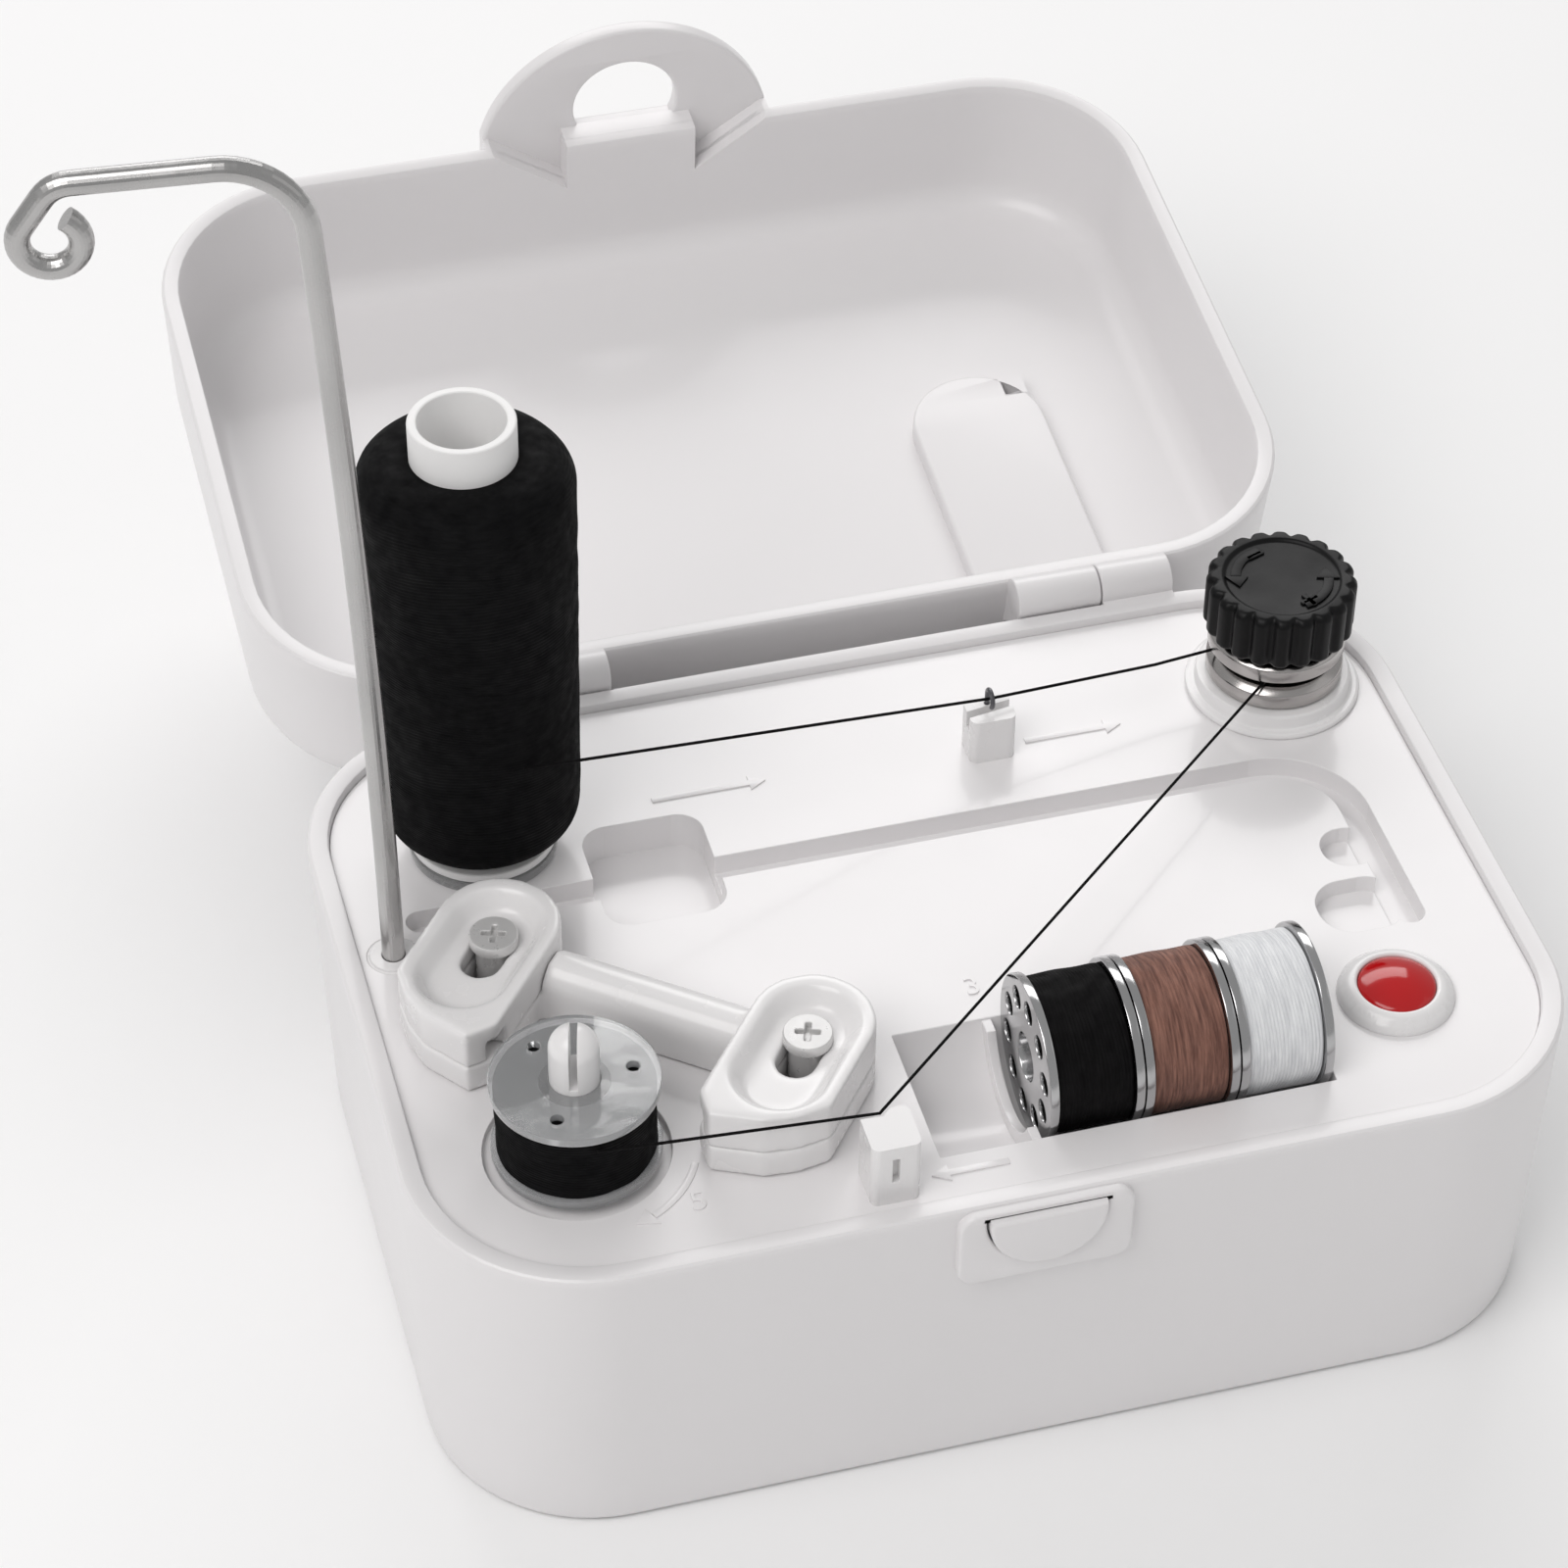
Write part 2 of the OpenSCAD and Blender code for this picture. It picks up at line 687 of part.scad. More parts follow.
module spool_thread() {
    low = deck_z + 4.2;
    high = deck_z + spool_h - 3.4;
    round_r = 5;
    arc = [for (a = [0:15:90]) [spool_r - round_r + round_r*sin(a), round_r - round_r*cos(a)]];
    color("black") translate([spool_p[0], spool_p[1], 0]) rotate_extrude() polygon(concat(
        [[6.47, low]], [for (p = arc) [p[0], low + p[1]]],
        [for (i = [len(arc)-1:-1:0]) [arc[i][0], high - arc[i][1]]], [[6.47, high]]));
}

// ---- wire guide ----

module guide_socket() {
    color("gainsboro") translate([guide_p[0], guide_p[1], 32]) difference() {
        union() {
            cylinder(r = 3.3, h = deck_z - 32);
            translate([0, 0, deck_z - 32]) cylinder(r = 3, h = 0.3);
        }
        translate([0, 0, 1]) cylinder(r = rod_d/2 + gap, h = 20);
    }
}

// Points on a bend in the XZ plane, from angle a0 to a1
function bend_points(c, r, a0, a1, n) =
    [for (i = [0:n]) let (a = a0 + (a1 - a0)*i/n) [c[0] + r*cos(a), 0, c[1] + r*sin(a)]];

// The rod leans and bows a little towards its arm, and the arm droops a little
module wire_guide() {
    bow = 0.00029;
    lean = 3.6;
    droop = 3.5;
    bend = 9;
    nose = 4;
    nose_turn = 35;
    loop_r = 3.4;
    rise = arm_z - 8.5;
    bend_c = [bow*rise*rise + bend*cos(lean), deck_z + rise - bend*sin(lean)];
    arm_start = bend_c + bend*[sin(droop), cos(droop)];
    nose_c = [arm_reach, arm_start[1] - (arm_reach - arm_start[0])*tan(droop)]
        - nose*[sin(droop), cos(droop)];
    loop_c = nose_c + (nose - loop_r)*[cos(nose_turn), sin(nose_turn)]
        + 4.4*[sin(nose_turn), -cos(nose_turn)];
    path = concat([[0, 0, 33.2], [0, 0, deck_z + 1]],
        [for (h = [8:8:rise - 4]) [bow*h*h, 0, deck_z + h]],
        bend_points(bend_c, bend, 180 - lean, 90 - droop, 12),
        bend_points(nose_c, nose, 90 - droop, nose_turn, 6),
        bend_points(loop_c, loop_r, nose_turn, -235, 26));
    color("silver") translate([guide_p[0], guide_p[1], 0]) rotate([0, 0, arm_turn])
        sweep(path, rod_d/2, 24, [0, 1, 0]);
}

// ---- tension unit ----

module at_tension(z) {
    translate([tension_p[0], tension_p[1], z]) children();
}

module tension_base() {
    color("white") at_tension(deck_z) {
        tube(11.4, 2, 0.9);
        translate([0, 0, 0.8]) tube(10.1, 2, 2);
    }
}

module tension_stud() {
    color("silver") at_tension(deck_low - 4) cylinder(r = 2, h = 21.4);
}

module tension_nut() {
    color("silver") at_tension(deck_low - 3.2) difference() {
        cylinder(r = 4, h = 3.1, $fn = 6);
        translate([0, 0, -1]) cylinder(r = 2, h = 6);
    }
}

module lower_disc() {
    color("silver") at_tension(deck_z + 2.85) rotate_extrude()
        polygon([[2.02, 0], [8.4, 0], [8.9, 0.5], [8.9, 2.4], [7.8, 3.2], [2.02, 3.2]]);
}

module upper_disc() {
    color("silver") at_tension(deck_z + 6.85) rotate_extrude()
        polygon([[2.02, 0], [7.8, 0], [8.9, 0.8], [8.9, 2.6], [8.4, 3], [2.02, 3]]);
}

module tension_spring() {
    color("silver") at_tension(deck_z + 10.3) sweep(helix(3.2, 1, 2.6, 48), 0.35);
}

module tension_knob() {
    flute_r = 1.05;
    color("black") at_tension(deck_z + 10.6) difference() {
        cylinder(r = knob_r, h = 7.6);
        for (i = [0:knob_flutes-1]) rotate([0, 0, 360*i/knob_flutes])
            translate([knob_r + 0.45, 0, -1]) cylinder(r = flute_r, h = 10, $fn = 24);
        translate([0, 0, -1]) cylinder(r = 2 + gap, h = 7.8);
        translate([0, 0, -1]) cylinder(r = 4.4, h = 4.4);
    }
}

// ---- thread guides ----

// Small block with a sawn slot in its top
module guide_block(w, d, h, slot_w, slot_h, turn) {
    translate([0, 0, deck_z]) difference() {
        linear_extrude(h) rounded(w, d, 1);
        rotate([0, 0, turn]) translate([-w, -slot_w/2, h - slot_h]) cube([2*w, slot_w, slot_h + 1]);
    }
}

module rear_guide() {
    color("white") translate([rear_guide_p[0], rear_guide_p[1], 0]) difference() {
        guide_block(6, 5, 6.8, 1.2, 2.4, 9);
        translate([0, hook_r, deck_z + 4.2]) cylinder(r = 0.4, h = 4, $fn = 24);
    }
}

// Wire hook over the thread, standing in the rear guide
module rear_hook() {
    eye = deck_z + 8.5;
    path = concat([[0, hook_r, deck_z + 4.3]],
        [for (a = [0:15:225]) [0, hook_r*cos(a), eye + hook_r*sin(a)]]);
    color("dimgray") translate([rear_guide_p[0], rear_guide_p[1], 0])
        sweep(path, 0.33, 10, [1, 0, 0]);
}

module front_guide() {
    h = 9.3;
    bend = front_guide_p + front_bend;
    color("white") difference() {
        translate([front_guide_p[0], front_guide_p[1], deck_z]) linear_extrude(h)
            rounded(6, 6.4, 1);
        translate([bend[0], bend[1], deck_z + h - 1.8]) linear_extrude(4)
            for (a = [42, 176.5]) rotate(a) translate([-0.4, -0.65]) square([9, 1.3]);
        translate(concat(front_guide_p + [-0.6, -3.7], deck_z + 3.6)) cube([0.9, 1.6, 3.8]);
    }
}

// ---- stop yoke ----

module yoke_block2d() {
    // Drawn for the left block, with +Y away from the bar
    half = 7.6;
    translate([22, 0]) circle(half);
    polygon([[22, -half], [6, -half], [2.8, -5], [4.4, 1.6], [6.8, 5], [9.8, half], [22, half]]);
}

module both_blocks(z, h) {
    for (s = [0, 1]) mirror([0, s, 0]) translate([0, yoke_side, z])
        linear_extrude(h) yoke_block2d();
}

module yoke_slots(z) {
    for (s = [-1, 1]) translate([0, s*yoke_side, z]) linear_extrude(30)
        slot2d(yoke_screw_u - yoke_slot, yoke_screw_u + 0.2, 2.4);
}

module stop_yoke() {
    bar_y = yoke_side - 7.65;
    bar_r = 3.3;
    color("white") at_yoke() difference() {
        union() {
            both_blocks(yoke_low, yoke_seam - yoke_low);
            translate([17.4, -bar_y - 1, yoke_low])
                cube([2*bar_r, 2*bar_y + 2, yoke_seam - yoke_low]);
            translate([17.4, -bar_y, yoke_low]) cube([2*bar_r, 2*bar_y, yoke_seam - yoke_low + 0.6]);
            translate([17.4 + bar_r, -bar_y, yoke_seam + 0.6]) rotate([-90, 0, 0])
                cylinder(r = bar_r, h = 2*bar_y);
            translate([yoke_screw_u, 0, 37]) cylinder(r = 1.5, h = yoke_low - 36.6);
        }
        yoke_slots(30);
    }
}

// Oval dish whose walls slope outwards, from u0 to u1
module yoke_dish(u0, u1) {
    h = dish_depth + 1;
    floor_r = 4.2;
    mouth_r = floor_r + 1.8*h/dish_depth;
    for (u = [u0, u1]) translate([u, 0, 0]) cylinder(r1 = floor_r, r2 = mouth_r, h = h);
    translate([u0, 0, 0]) rotate([90, 0, 90]) linear_extrude(u1 - u0)
        polygon([[-floor_r, 0], [floor_r, 0], [mouth_r, h], [-mouth_r, h]]);
}

module yoke_caps() {
    color("white") at_yoke() difference() {
        both_blocks(yoke_seam, yoke_top - yoke_seam);
        yoke_slots(30);
        for (s = [-1, 1]) translate([0, s*yoke_side, yoke_top - dish_depth]) yoke_dish(12.4, 21.6);
        for (s = [-1, 1]) translate([6.7, s*(yoke_side - 6.8), yoke_seam])
            cylinder(r = 1.7, h = 3.2, $fn = 24);
    }
}

module yoke_screws() {
    head_z = yoke_top - dish_depth + gap;
    color("silver") at_yoke() for (s = [-1, 1]) translate([yoke_screw_u, s*yoke_side, 0])
        difference() {
            union() {
                translate([0, 0, head_z]) cylinder(r = 3, h = 1.5);
                translate([0, 0, deck_z]) cylinder(r = 2.3, h = head_z - deck_z + 0.1);
                translate([0, 0, 36.4]) cylinder(r = 1.5, h = 10);
            }
            for (a = [0, 90]) rotate([0, 0, a + 20]) translate([0, 0, head_z + 1.4])
                cube([3, 0.7, 1.6], center = true);
        }
}

module stop_switch() {
    color("dimgray") at_yoke() {
        translate([29.4, -6, 35.4]) cube([6, 12, deck_low - 35.4]);
        translate([28.4, -3, 38.2]) cube([1.2, 7, 0.4]);
    }
}

// ---- start button ----

module at_button(z) {
    translate([button_p[0], button_p[1], z]) children();
}

module button_ring() {
    color("white") at_button(deck_z) rotate_extrude()
        polygon([[4.85, -3.2], [6.2, -3.2], [6.2, 0], [7.3, 0], [7.1, 0.8], [5.9, 1.9], [5.2, 2.1],
            [4.85, 1.9]]);
}

module start_button() {
    dome_r = 9;
    crown = deck_z + 3.2;
    color("red") at_button(0) {
        intersection() {
            translate([0, 0, deck_z - 4.4]) cylinder(r = 4.78, h = 10);
            translate([0, 0, crown - dome_r]) sphere(r = dome_r, $fn = 96);
        }
        translate([0, 0, deck_z - 5]) cylinder(r = 5.8, h = 1.4);
        translate([0, 0, 31.4]) cylinder(r = 1.6, h = deck_z - 35);
    }
}

module button_spring() {
    color("silver") at_button(34.4) sweep(helix(2.6, 0.8, 3, 48), 0.3);
}

module start_switch() {
    color("dimgray") at_button(27) difference() {
        translate([-4.5, -4.5, 0]) cube([9, 9, 7]);
        translate([0, 0, 2]) cylinder(r = 1.66, h = 8);
    }
}

// ---- wiring and thread ----

// Point on a circular arc around a centre
function around(c, r, a, z) = [c[0] + r*cos(a), c[1] + r*sin(a), z];

module wiring() {
    r = 0.6;
    color("red") sweep([[46.2, -28, 31], [40, -31, 26], [20, -32, 24], [-2, -33, 24],
        [-14, -27, 22], [-20, -16, 18], [-22, -12.4, 16]], r);
    color("black") sweep([[43, 14, 19.5], [44, 0, 23], [45, -14, 27], [46.2, -24.6, 30]], r);
    color("black") sweep([[-9, 14, 19.5], [-13, 15, 21], [-18, 14, 19], [-22, 9.6, 16]], r);
}

module thread_run() {
    tz = thread_gap_z;
    bend = front_guide_p + front_bend;
    wrap = [for (a = [100:-24:-44]) around(tension_p, 2.3, a, tz)];
    color("black") sweep(concat(
        [around(spool_p, spool_r + 0.3, -75, 67), around(spool_p, spool_r + 0.3, -76.4, 67)],
        [[rear_guide_p[0], rear_guide_p[1], deck_z + 8.5], [40, 30.5, tz - 0.1]], wrap,
        [[bend[0], bend[1], tz + 2.7], around(spindle_p, wound_r + 0.25, -88, tz + 3.2)]),
        thread_r);
}

lower_case();
base_plate();
base_screws();
rubber_feet();
battery_door();
door_screw();
battery_box();
battery_cells();
battery_contacts();
deck_plate();
lid();
hinge_pins();
latch_pad();
latch_spring();
motor_can();
motor_end_cap();
motor_shaft();
motor_pulley();
motor_saddle();
saddle_screws();
drive_belt();
driven_pulley();
spindle_shaft();
spindle_bush();
spindle_foot();
spindle_tip();
bobbin();
bobbin_thread();
spool_post();
spool_pad();
spool_tube();
spool_thread();
guide_socket();
wire_guide();
tension_base();
tension_stud();
tension_nut();
lower_disc();
upper_disc();
tension_spring();
tension_knob();
rear_guide();
rear_hook();
front_guide();
stop_yoke();
yoke_caps();
yoke_screws();
stop_switch();
button_ring();
start_button();
button_spring();
start_switch();
stored_bobbin(0);  // stored_bobbin_1
stored_bobbin(1);  // stored_bobbin_2
stored_bobbin(2);  // stored_bobbin_3
stored_thread(0, "black");  // stored_thread_1
stored_thread(1, "saddlebrown");  // stored_thread_2
stored_thread(2, "white");  // stored_thread_3
wiring();
thread_run();
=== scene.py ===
import math

import bmesh
import bpy
from mathutils import Matrix, Vector, noise


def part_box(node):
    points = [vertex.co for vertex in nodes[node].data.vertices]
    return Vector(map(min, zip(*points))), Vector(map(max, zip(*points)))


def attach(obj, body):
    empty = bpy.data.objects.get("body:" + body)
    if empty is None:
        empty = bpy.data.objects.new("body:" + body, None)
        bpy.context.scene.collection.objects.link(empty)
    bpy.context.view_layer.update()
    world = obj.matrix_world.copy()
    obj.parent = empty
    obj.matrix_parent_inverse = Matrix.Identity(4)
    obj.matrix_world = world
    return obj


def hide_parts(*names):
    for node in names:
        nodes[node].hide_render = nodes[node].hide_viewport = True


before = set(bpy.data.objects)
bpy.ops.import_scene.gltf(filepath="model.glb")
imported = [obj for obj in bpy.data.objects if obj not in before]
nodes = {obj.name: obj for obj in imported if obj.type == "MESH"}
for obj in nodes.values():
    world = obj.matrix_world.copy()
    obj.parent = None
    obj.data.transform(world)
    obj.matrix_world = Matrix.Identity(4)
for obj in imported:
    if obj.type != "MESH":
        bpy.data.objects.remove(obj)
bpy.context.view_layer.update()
MM = 0.001


# ---------------------------------------------------------------- places from the frame

def low(node):
    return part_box(node)[0] * 1000


def high(node):
    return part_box(node)[1] * 1000


def middle(node):
    return (low(node) + high(node)) / 2


# The case's outer size, in mm, its corner radius and how far its walls lean in towards the base
CASE_W = high("lower_case").x - low("lower_case").x
CASE_D = 2 * (2.85 - low("deck_plate").y)
CASE_H = high("deck_plate").z + 1.2
CORNER_R = 22.4
DRAFT = 1.4
DECK = high("deck_plate").z
# Hinge knuckles, as a span of distances from the middle plane, and their clearance
CASE_KNUCKLE = (39.4, 49.2)
LID_KNUCKLE = (27.8, 39.2)
KNUCKLE_R = 2.9
RELIEF_R = 3.2
# The lid: rim and top when it is shut, and how far it stands open
LID_BASE = CASE_H + 0.15
LID_TOP = CASE_H + 23.7
LID_TOP_T = 2.2
LID_OPEN = 173.0
# Half-moon latch in the case's front
LATCH_Z = CASE_H - 6.6
MOON_R = 7.4
MOON_Z = CASE_H - 1.9
MOON_FLAT = CASE_H - 0.8
# Height of the raised marks on the deck, and how far they are sunk into it
MARK_H = 0.22
MARK_SINK = 0.02
# Thread as it is laid on a spool or bobbin
TURN_PITCH = 0.42
BOBBIN_CORE_R = 4.25
BOBBIN_WOUND_R = 9.55
spindle = middle("spindle_tip")
spool = middle("spool_tube")
knob = middle("tension_knob")
hinge = middle("hinge_pins")


# ---------------------------------------------------------------- camera, lights, floor

def set_camera():
    data = bpy.data.cameras.new("camera")
    data.sensor_width = 36.0
    data.lens = 105.0
    data.clip_start = 0.01
    data.clip_end = 20
    camera = bpy.data.objects.new("camera", data)
    bpy.context.collection.objects.link(camera)
    azimuth, elevation, roll = (math.radians(a) for a in (-15.53, 42.54, 0.50))
    back = Vector((math.sin(azimuth) * math.cos(elevation),
                   -math.cos(azimuth) * math.cos(elevation), math.sin(elevation)))
    right = Vector((math.cos(azimuth), math.sin(azimuth), 0))
    up = back.cross(right)
    x = right * math.cos(roll) + up * math.sin(roll)
    y = up * math.cos(roll) - right * math.sin(roll)
    turn = Matrix((x, y, back)).transposed().to_4x4()
    camera.matrix_world = Matrix.Translation(Vector((-125.82, -387.32, 438.75)) * MM) @ turn
    bpy.context.scene.camera = camera


def area_light(name, place, aim, size, power, colour=(1, 1, 1)):
    data = bpy.data.lights.new(name, "AREA")
    data.shape = "RECTANGLE"
    data.size, data.size_y = size
    data.energy = power
    data.color = colour
    light = bpy.data.objects.new(name, data)
    bpy.context.collection.objects.link(light)
    light.location = place
    light.rotation_euler = (Vector(aim) - Vector(place)).to_track_quat("-Z", "Y").to_euler()
    return light


def set_stage():
    world = bpy.data.worlds.new("studio")
    world.use_nodes = True
    background = world.node_tree.nodes["Background"]
    background.inputs["Color"].default_value = (1.0, 1.0, 1.0, 1)
    background.inputs["Strength"].default_value = 0.46
    bpy.context.scene.world = world
    centre = (0, 0, 0.03)
    area_light("key", (-0.55, -0.35, 0.9), centre, (0.7, 0.7), 5.1, (1.0, 0.98, 0.975))
    area_light("back", (0.15, 0.95, 0.75), centre, (1.1, 0.5), 5.4, (1.0, 0.99, 0.99))
    area_light("right", (0.8, -0.3, 0.5), centre, (0.6, 0.6), 0.25, (1.0, 0.98, 0.975))
    bpy.ops.mesh.primitive_plane_add(size=8, location=(0, 0, -0.0002))
    floor = bpy.context.object
    floor.name = "floor"
    material = bpy.data.materials.new("floor_pale")
    material.use_nodes = True
    shader = material.node_tree.nodes["Principled BSDF"]
    shader.inputs["Base Color"].default_value = (0.93, 0.93, 0.93, 1)
    shader.inputs["Roughness"].default_value = 0.8
    floor.data.materials.append(material)
    bpy.context.scene.view_settings.view_transform = "Standard"
    bpy.context.scene.view_settings.exposure = 0.0


# ---------------------------------------------------------------- materials

class Graph:
    """A material's node tree with short ways to add nodes"""

    def __init__(self, name):
        self.material = bpy.data.materials.new(name)
        self.material.use_nodes = True
        self.tree = self.material.node_tree
        self.shader = self.tree.nodes["Principled BSDF"]
        coordinates = self.tree.nodes.new("ShaderNodeTexCoord")
        self.place = coordinates.outputs["Object"]

    def noise(self, scale, detail=3.0, rough=0.5, stretch=None):
        node = self.tree.nodes.new("ShaderNodeTexNoise")
        node.inputs["Scale"].default_value = scale
        node.inputs["Detail"].default_value = detail
        node.inputs["Roughness"].default_value = rough
        source = self.place
        if stretch:
            mapping = self.tree.nodes.new("ShaderNodeMapping")
            mapping.inputs["Scale"].default_value = stretch
            self.tree.links.new(source, mapping.inputs["Vector"])
            source = mapping.outputs["Vector"]
        self.tree.links.new(source, node.inputs["Vector"])
        return node.outputs["Fac"]

    def ramp(self, source, low_value, high_value, start=0.3, end=0.7):
        node = self.tree.nodes.new("ShaderNodeMapRange")
        node.inputs["From Min"].default_value = start
        node.inputs["From Max"].default_value = end
        node.inputs["To Min"].default_value = low_value
        node.inputs["To Max"].default_value = high_value
        self.tree.links.new(source, node.inputs["Value"])
        return node.outputs["Result"]

    def blend(self, factor, a, b):
        node = self.tree.nodes.new("ShaderNodeMix")
        node.data_type = "RGBA"
        node.inputs[6].default_value = (*a, 1)
        node.inputs[7].default_value = (*b, 1)
        self.tree.links.new(factor, node.inputs[0])
        return node.outputs[2]

    def bump(self, height, strength, distance):
        node = self.tree.nodes.new("ShaderNodeBump")
        node.inputs["Strength"].default_value = strength
        node.inputs["Distance"].default_value = distance
        self.tree.links.new(height, node.inputs["Height"])
        self.tree.links.new(node.outputs["Normal"], self.shader.inputs["Normal"])

    def link(self, source, socket):
        self.tree.links.new(source, self.shader.inputs[socket])

    def set(self, **values):
        for key, value in values.items():
            self.shader.inputs[key.replace("_", " ")].default_value = value


def plastic(name, colour, rough, grain=0.12, coat=0.0, shade=0.03, grain_scale=900, specular=0.5):
    """Moulded plastic, a little uneven in colour and gloss"""
    g = Graph(name)
    dark = tuple(max(c - shade * max(c, 0.1), 0) for c in colour)
    g.link(g.blend(g.ramp(g.noise(38, 4), 0, 1), dark, colour), "Base Color")
    g.link(g.ramp(g.noise(160, 5), *rough), "Roughness")
    g.bump(g.noise(grain_scale, 2), grain, 0.00004)
    g.set(IOR=1.5, Coat_Weight=coat, Coat_Roughness=0.08, Specular_IOR_Level=specular)
    return g.material


def metal(name, colour, rough, stretch=None, scale=400, metallic=1.0):
    """Metal with fine streaks along the short stretch direction"""
    g = Graph(name)
    dark = tuple(c * 0.86 for c in colour)
    g.link(g.blend(g.ramp(g.noise(60, 4), 0, 1), dark, colour), "Base Color")
    g.link(g.ramp(g.noise(scale, 4, 0.6, stretch), *rough), "Roughness")
    g.bump(g.noise(scale * 2, 3, 0.6, stretch), 0.08, 0.00003)
    g.set(Metallic=metallic)
    return g.material


def clear(name, colour):
    """Slightly wavy clear plastic"""
    g = Graph(name)
    g.link(g.ramp(g.noise(250, 3), 0.04, 0.12), "Roughness")
    g.bump(g.noise(75, 3), 0.5, 0.0004)
    g.set(Base_Color=(*colour, 1), Transmission_Weight=0.72, IOR=1.47, Coat_Weight=1.0,
          Coat_Roughness=0.02)
    return g.material


def thread(name, colour, light, sheen, stretch, specular=0.25):
    """Wound thread whose fibres run across the stretch direction"""
    g = Graph(name)
    fibre = g.noise(2600, 4, 0.65, stretch)
    g.link(g.blend(g.ramp(fibre, 0, 1, 0.35, 0.68), colour, light), "Base Color")
    g.link(g.ramp(g.noise(500, 3), 0.62, 0.9), "Roughness")
    g.bump(fibre, 0.5, 0.00008)
    g.set(Sheen_Weight=sheen, Sheen_Roughness=0.4, Specular_IOR_Level=specular)
    return g.material


WHITE = (0.800, 0.785, 0.790)
mats = {
    "shell": plastic("shell_white", WHITE, (0.30, 0.34), 0.05, 0.12, 0.012),
    "deck": plastic("deck_white", (0.825, 0.81, 0.815), (0.20, 0.25), 0.05, 0.25, 0.012),
    "part": plastic("part_white", (0.84, 0.83, 0.83), (0.2, 0.3), 0.08, 0.2),
    "tube": plastic("tube_white", (0.86, 0.855, 0.85), (0.3, 0.42), 0.1),
    "base": plastic("base_white", (0.72, 0.71, 0.71), (0.42, 0.55), 0.3, grain_scale=1400),
    "black": plastic("knob_black", (0.004, 0.004, 0.0045), (0.36, 0.46), 0.2, 0.0, 0.3, 1600,
                     0.2),
    "dark": plastic("switch_grey", (0.05, 0.05, 0.052), (0.4, 0.55), 0.3, shade=0.3),
    "red": plastic("button_red", (0.50, 0.001, 0.004), (0.10, 0.16), 0.04, 0.25, 0.12),
    "cell": plastic("cell_green", (0.05, 0.22, 0.12), (0.25, 0.35), 0.1, 0.2, 0.2),
    "rubber": plastic("rubber_black", (0.03, 0.03, 0.03), (0.6, 0.75), 0.5, shade=0.3),
    "wire_red": plastic("wire_red", (0.35, 0.02, 0.02), (0.4, 0.5), 0.2, shade=0.2),
    "clear": clear("clear_plastic", (0.80, 0.81, 0.82)),
    "steel": metal("steel", (0.62, 0.62, 0.63), (0.24, 0.38)),
    "chrome": metal("bright_steel", (0.52, 0.52, 0.525), (0.10, 0.22)),
    "rod": metal("rod_steel", (0.52, 0.515, 0.51), (0.22, 0.32), (1, 1, 0.1), 700),
    "disc": metal("disc_steel", (0.50, 0.48, 0.47), (0.14, 0.26), (1, 1, 12), 300),
    "screw": metal("screw_steel", (0.70, 0.695, 0.69), (0.24, 0.36), metallic=0.3),
    "brass": metal("brass", (0.62, 0.45, 0.2), (0.22, 0.36)),
    "eye": metal("eye_steel", (0.16, 0.16, 0.17), (0.25, 0.4)),
    "thread_spool": thread("thread_spool", (0.0012, 0.0012, 0.0015), (0.0045, 0.0045, 0.005), 0.0,
                           (0.15, 0.15, 1), specular=0.12),
    "thread_black": thread("thread_black", (0.0014, 0.0012, 0.0014), (0.005, 0.0045, 0.005), 0.0,
                           (1, 0.12, 0.12), specular=0.12),
    "thread_brown": thread("thread_brown", (0.115, 0.052, 0.040), (0.30, 0.150, 0.112), 0.15,
                           (1, 0.08, 0.08)),
    "thread_white": thread("thread_white", (0.66, 0.67, 0.69), (0.84, 0.85, 0.86), 0.3,
                           (1, 0.1, 0.1)),
}


# ---------------------------------------------------------------- mesh helpers

def smooth(obj, angle=38):
    obj.data.shade_smooth()
    obj.data.set_sharp_from_angle(angle=math.radians(angle))


def clean(mesh, weld=True):
    """Turns the faces outwards, after merging doubled points"""
    b = bmesh.new()
    b.from_mesh(mesh)
    if weld:
        bmesh.ops.remove_doubles(b, verts=b.verts, dist=1e-7)
    bmesh.ops.recalc_face_normals(b, faces=b.faces)
    b.to_mesh(mesh)
    b.free()


def merge(obj):
    clean(obj.data)
    return obj


def from_data(name, verts, faces):
    """A mesh object from points in mm"""
    mesh = bpy.data.meshes.new(name)
    mesh.from_pydata([Vector(v) * MM for v in verts], [], faces)
    mesh.update()
    obj = bpy.data.objects.new(name, mesh)
    bpy.context.collection.objects.link(obj)
    return obj


def finish_piece(obj, body, mat, replaced=(), angle=38):
    """Gives a piece its material, body and the solids it stands in for"""
    obj.data.materials.clear()
    obj.data.materials.append(mats[mat])
    smooth(obj, angle)
    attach(obj, body)
    if replaced:
        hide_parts(*replaced)
    return obj


def baked(obj):
    """Applies an object's modifiers, or turns a curve into a mesh, and merges doubles"""
    bpy.context.view_layer.update()
    graph = bpy.context.evaluated_depsgraph_get()
    mesh = bpy.data.meshes.new_from_object(obj.evaluated_get(graph))
    if obj.type == "MESH":
        obj.modifiers.clear()
        obj.data = mesh
        result = obj
    else:
        result = bpy.data.objects.new(obj.name + ".m", mesh)
        bpy.context.collection.objects.link(result)
        result.matrix_world = obj.matrix_world
        bpy.data.objects.remove(obj)
    return merge(result)


def cut_away(obj, tools):
    """Cuts each tool out of an object in turn"""
    for tool in tools:
        modifier = obj.modifiers.new("cut", "BOOLEAN")
        modifier.operation = "DIFFERENCE"
        modifier.solver = "EXACT"
        modifier.object = tool
        baked(obj)
        bpy.data.objects.remove(tool)


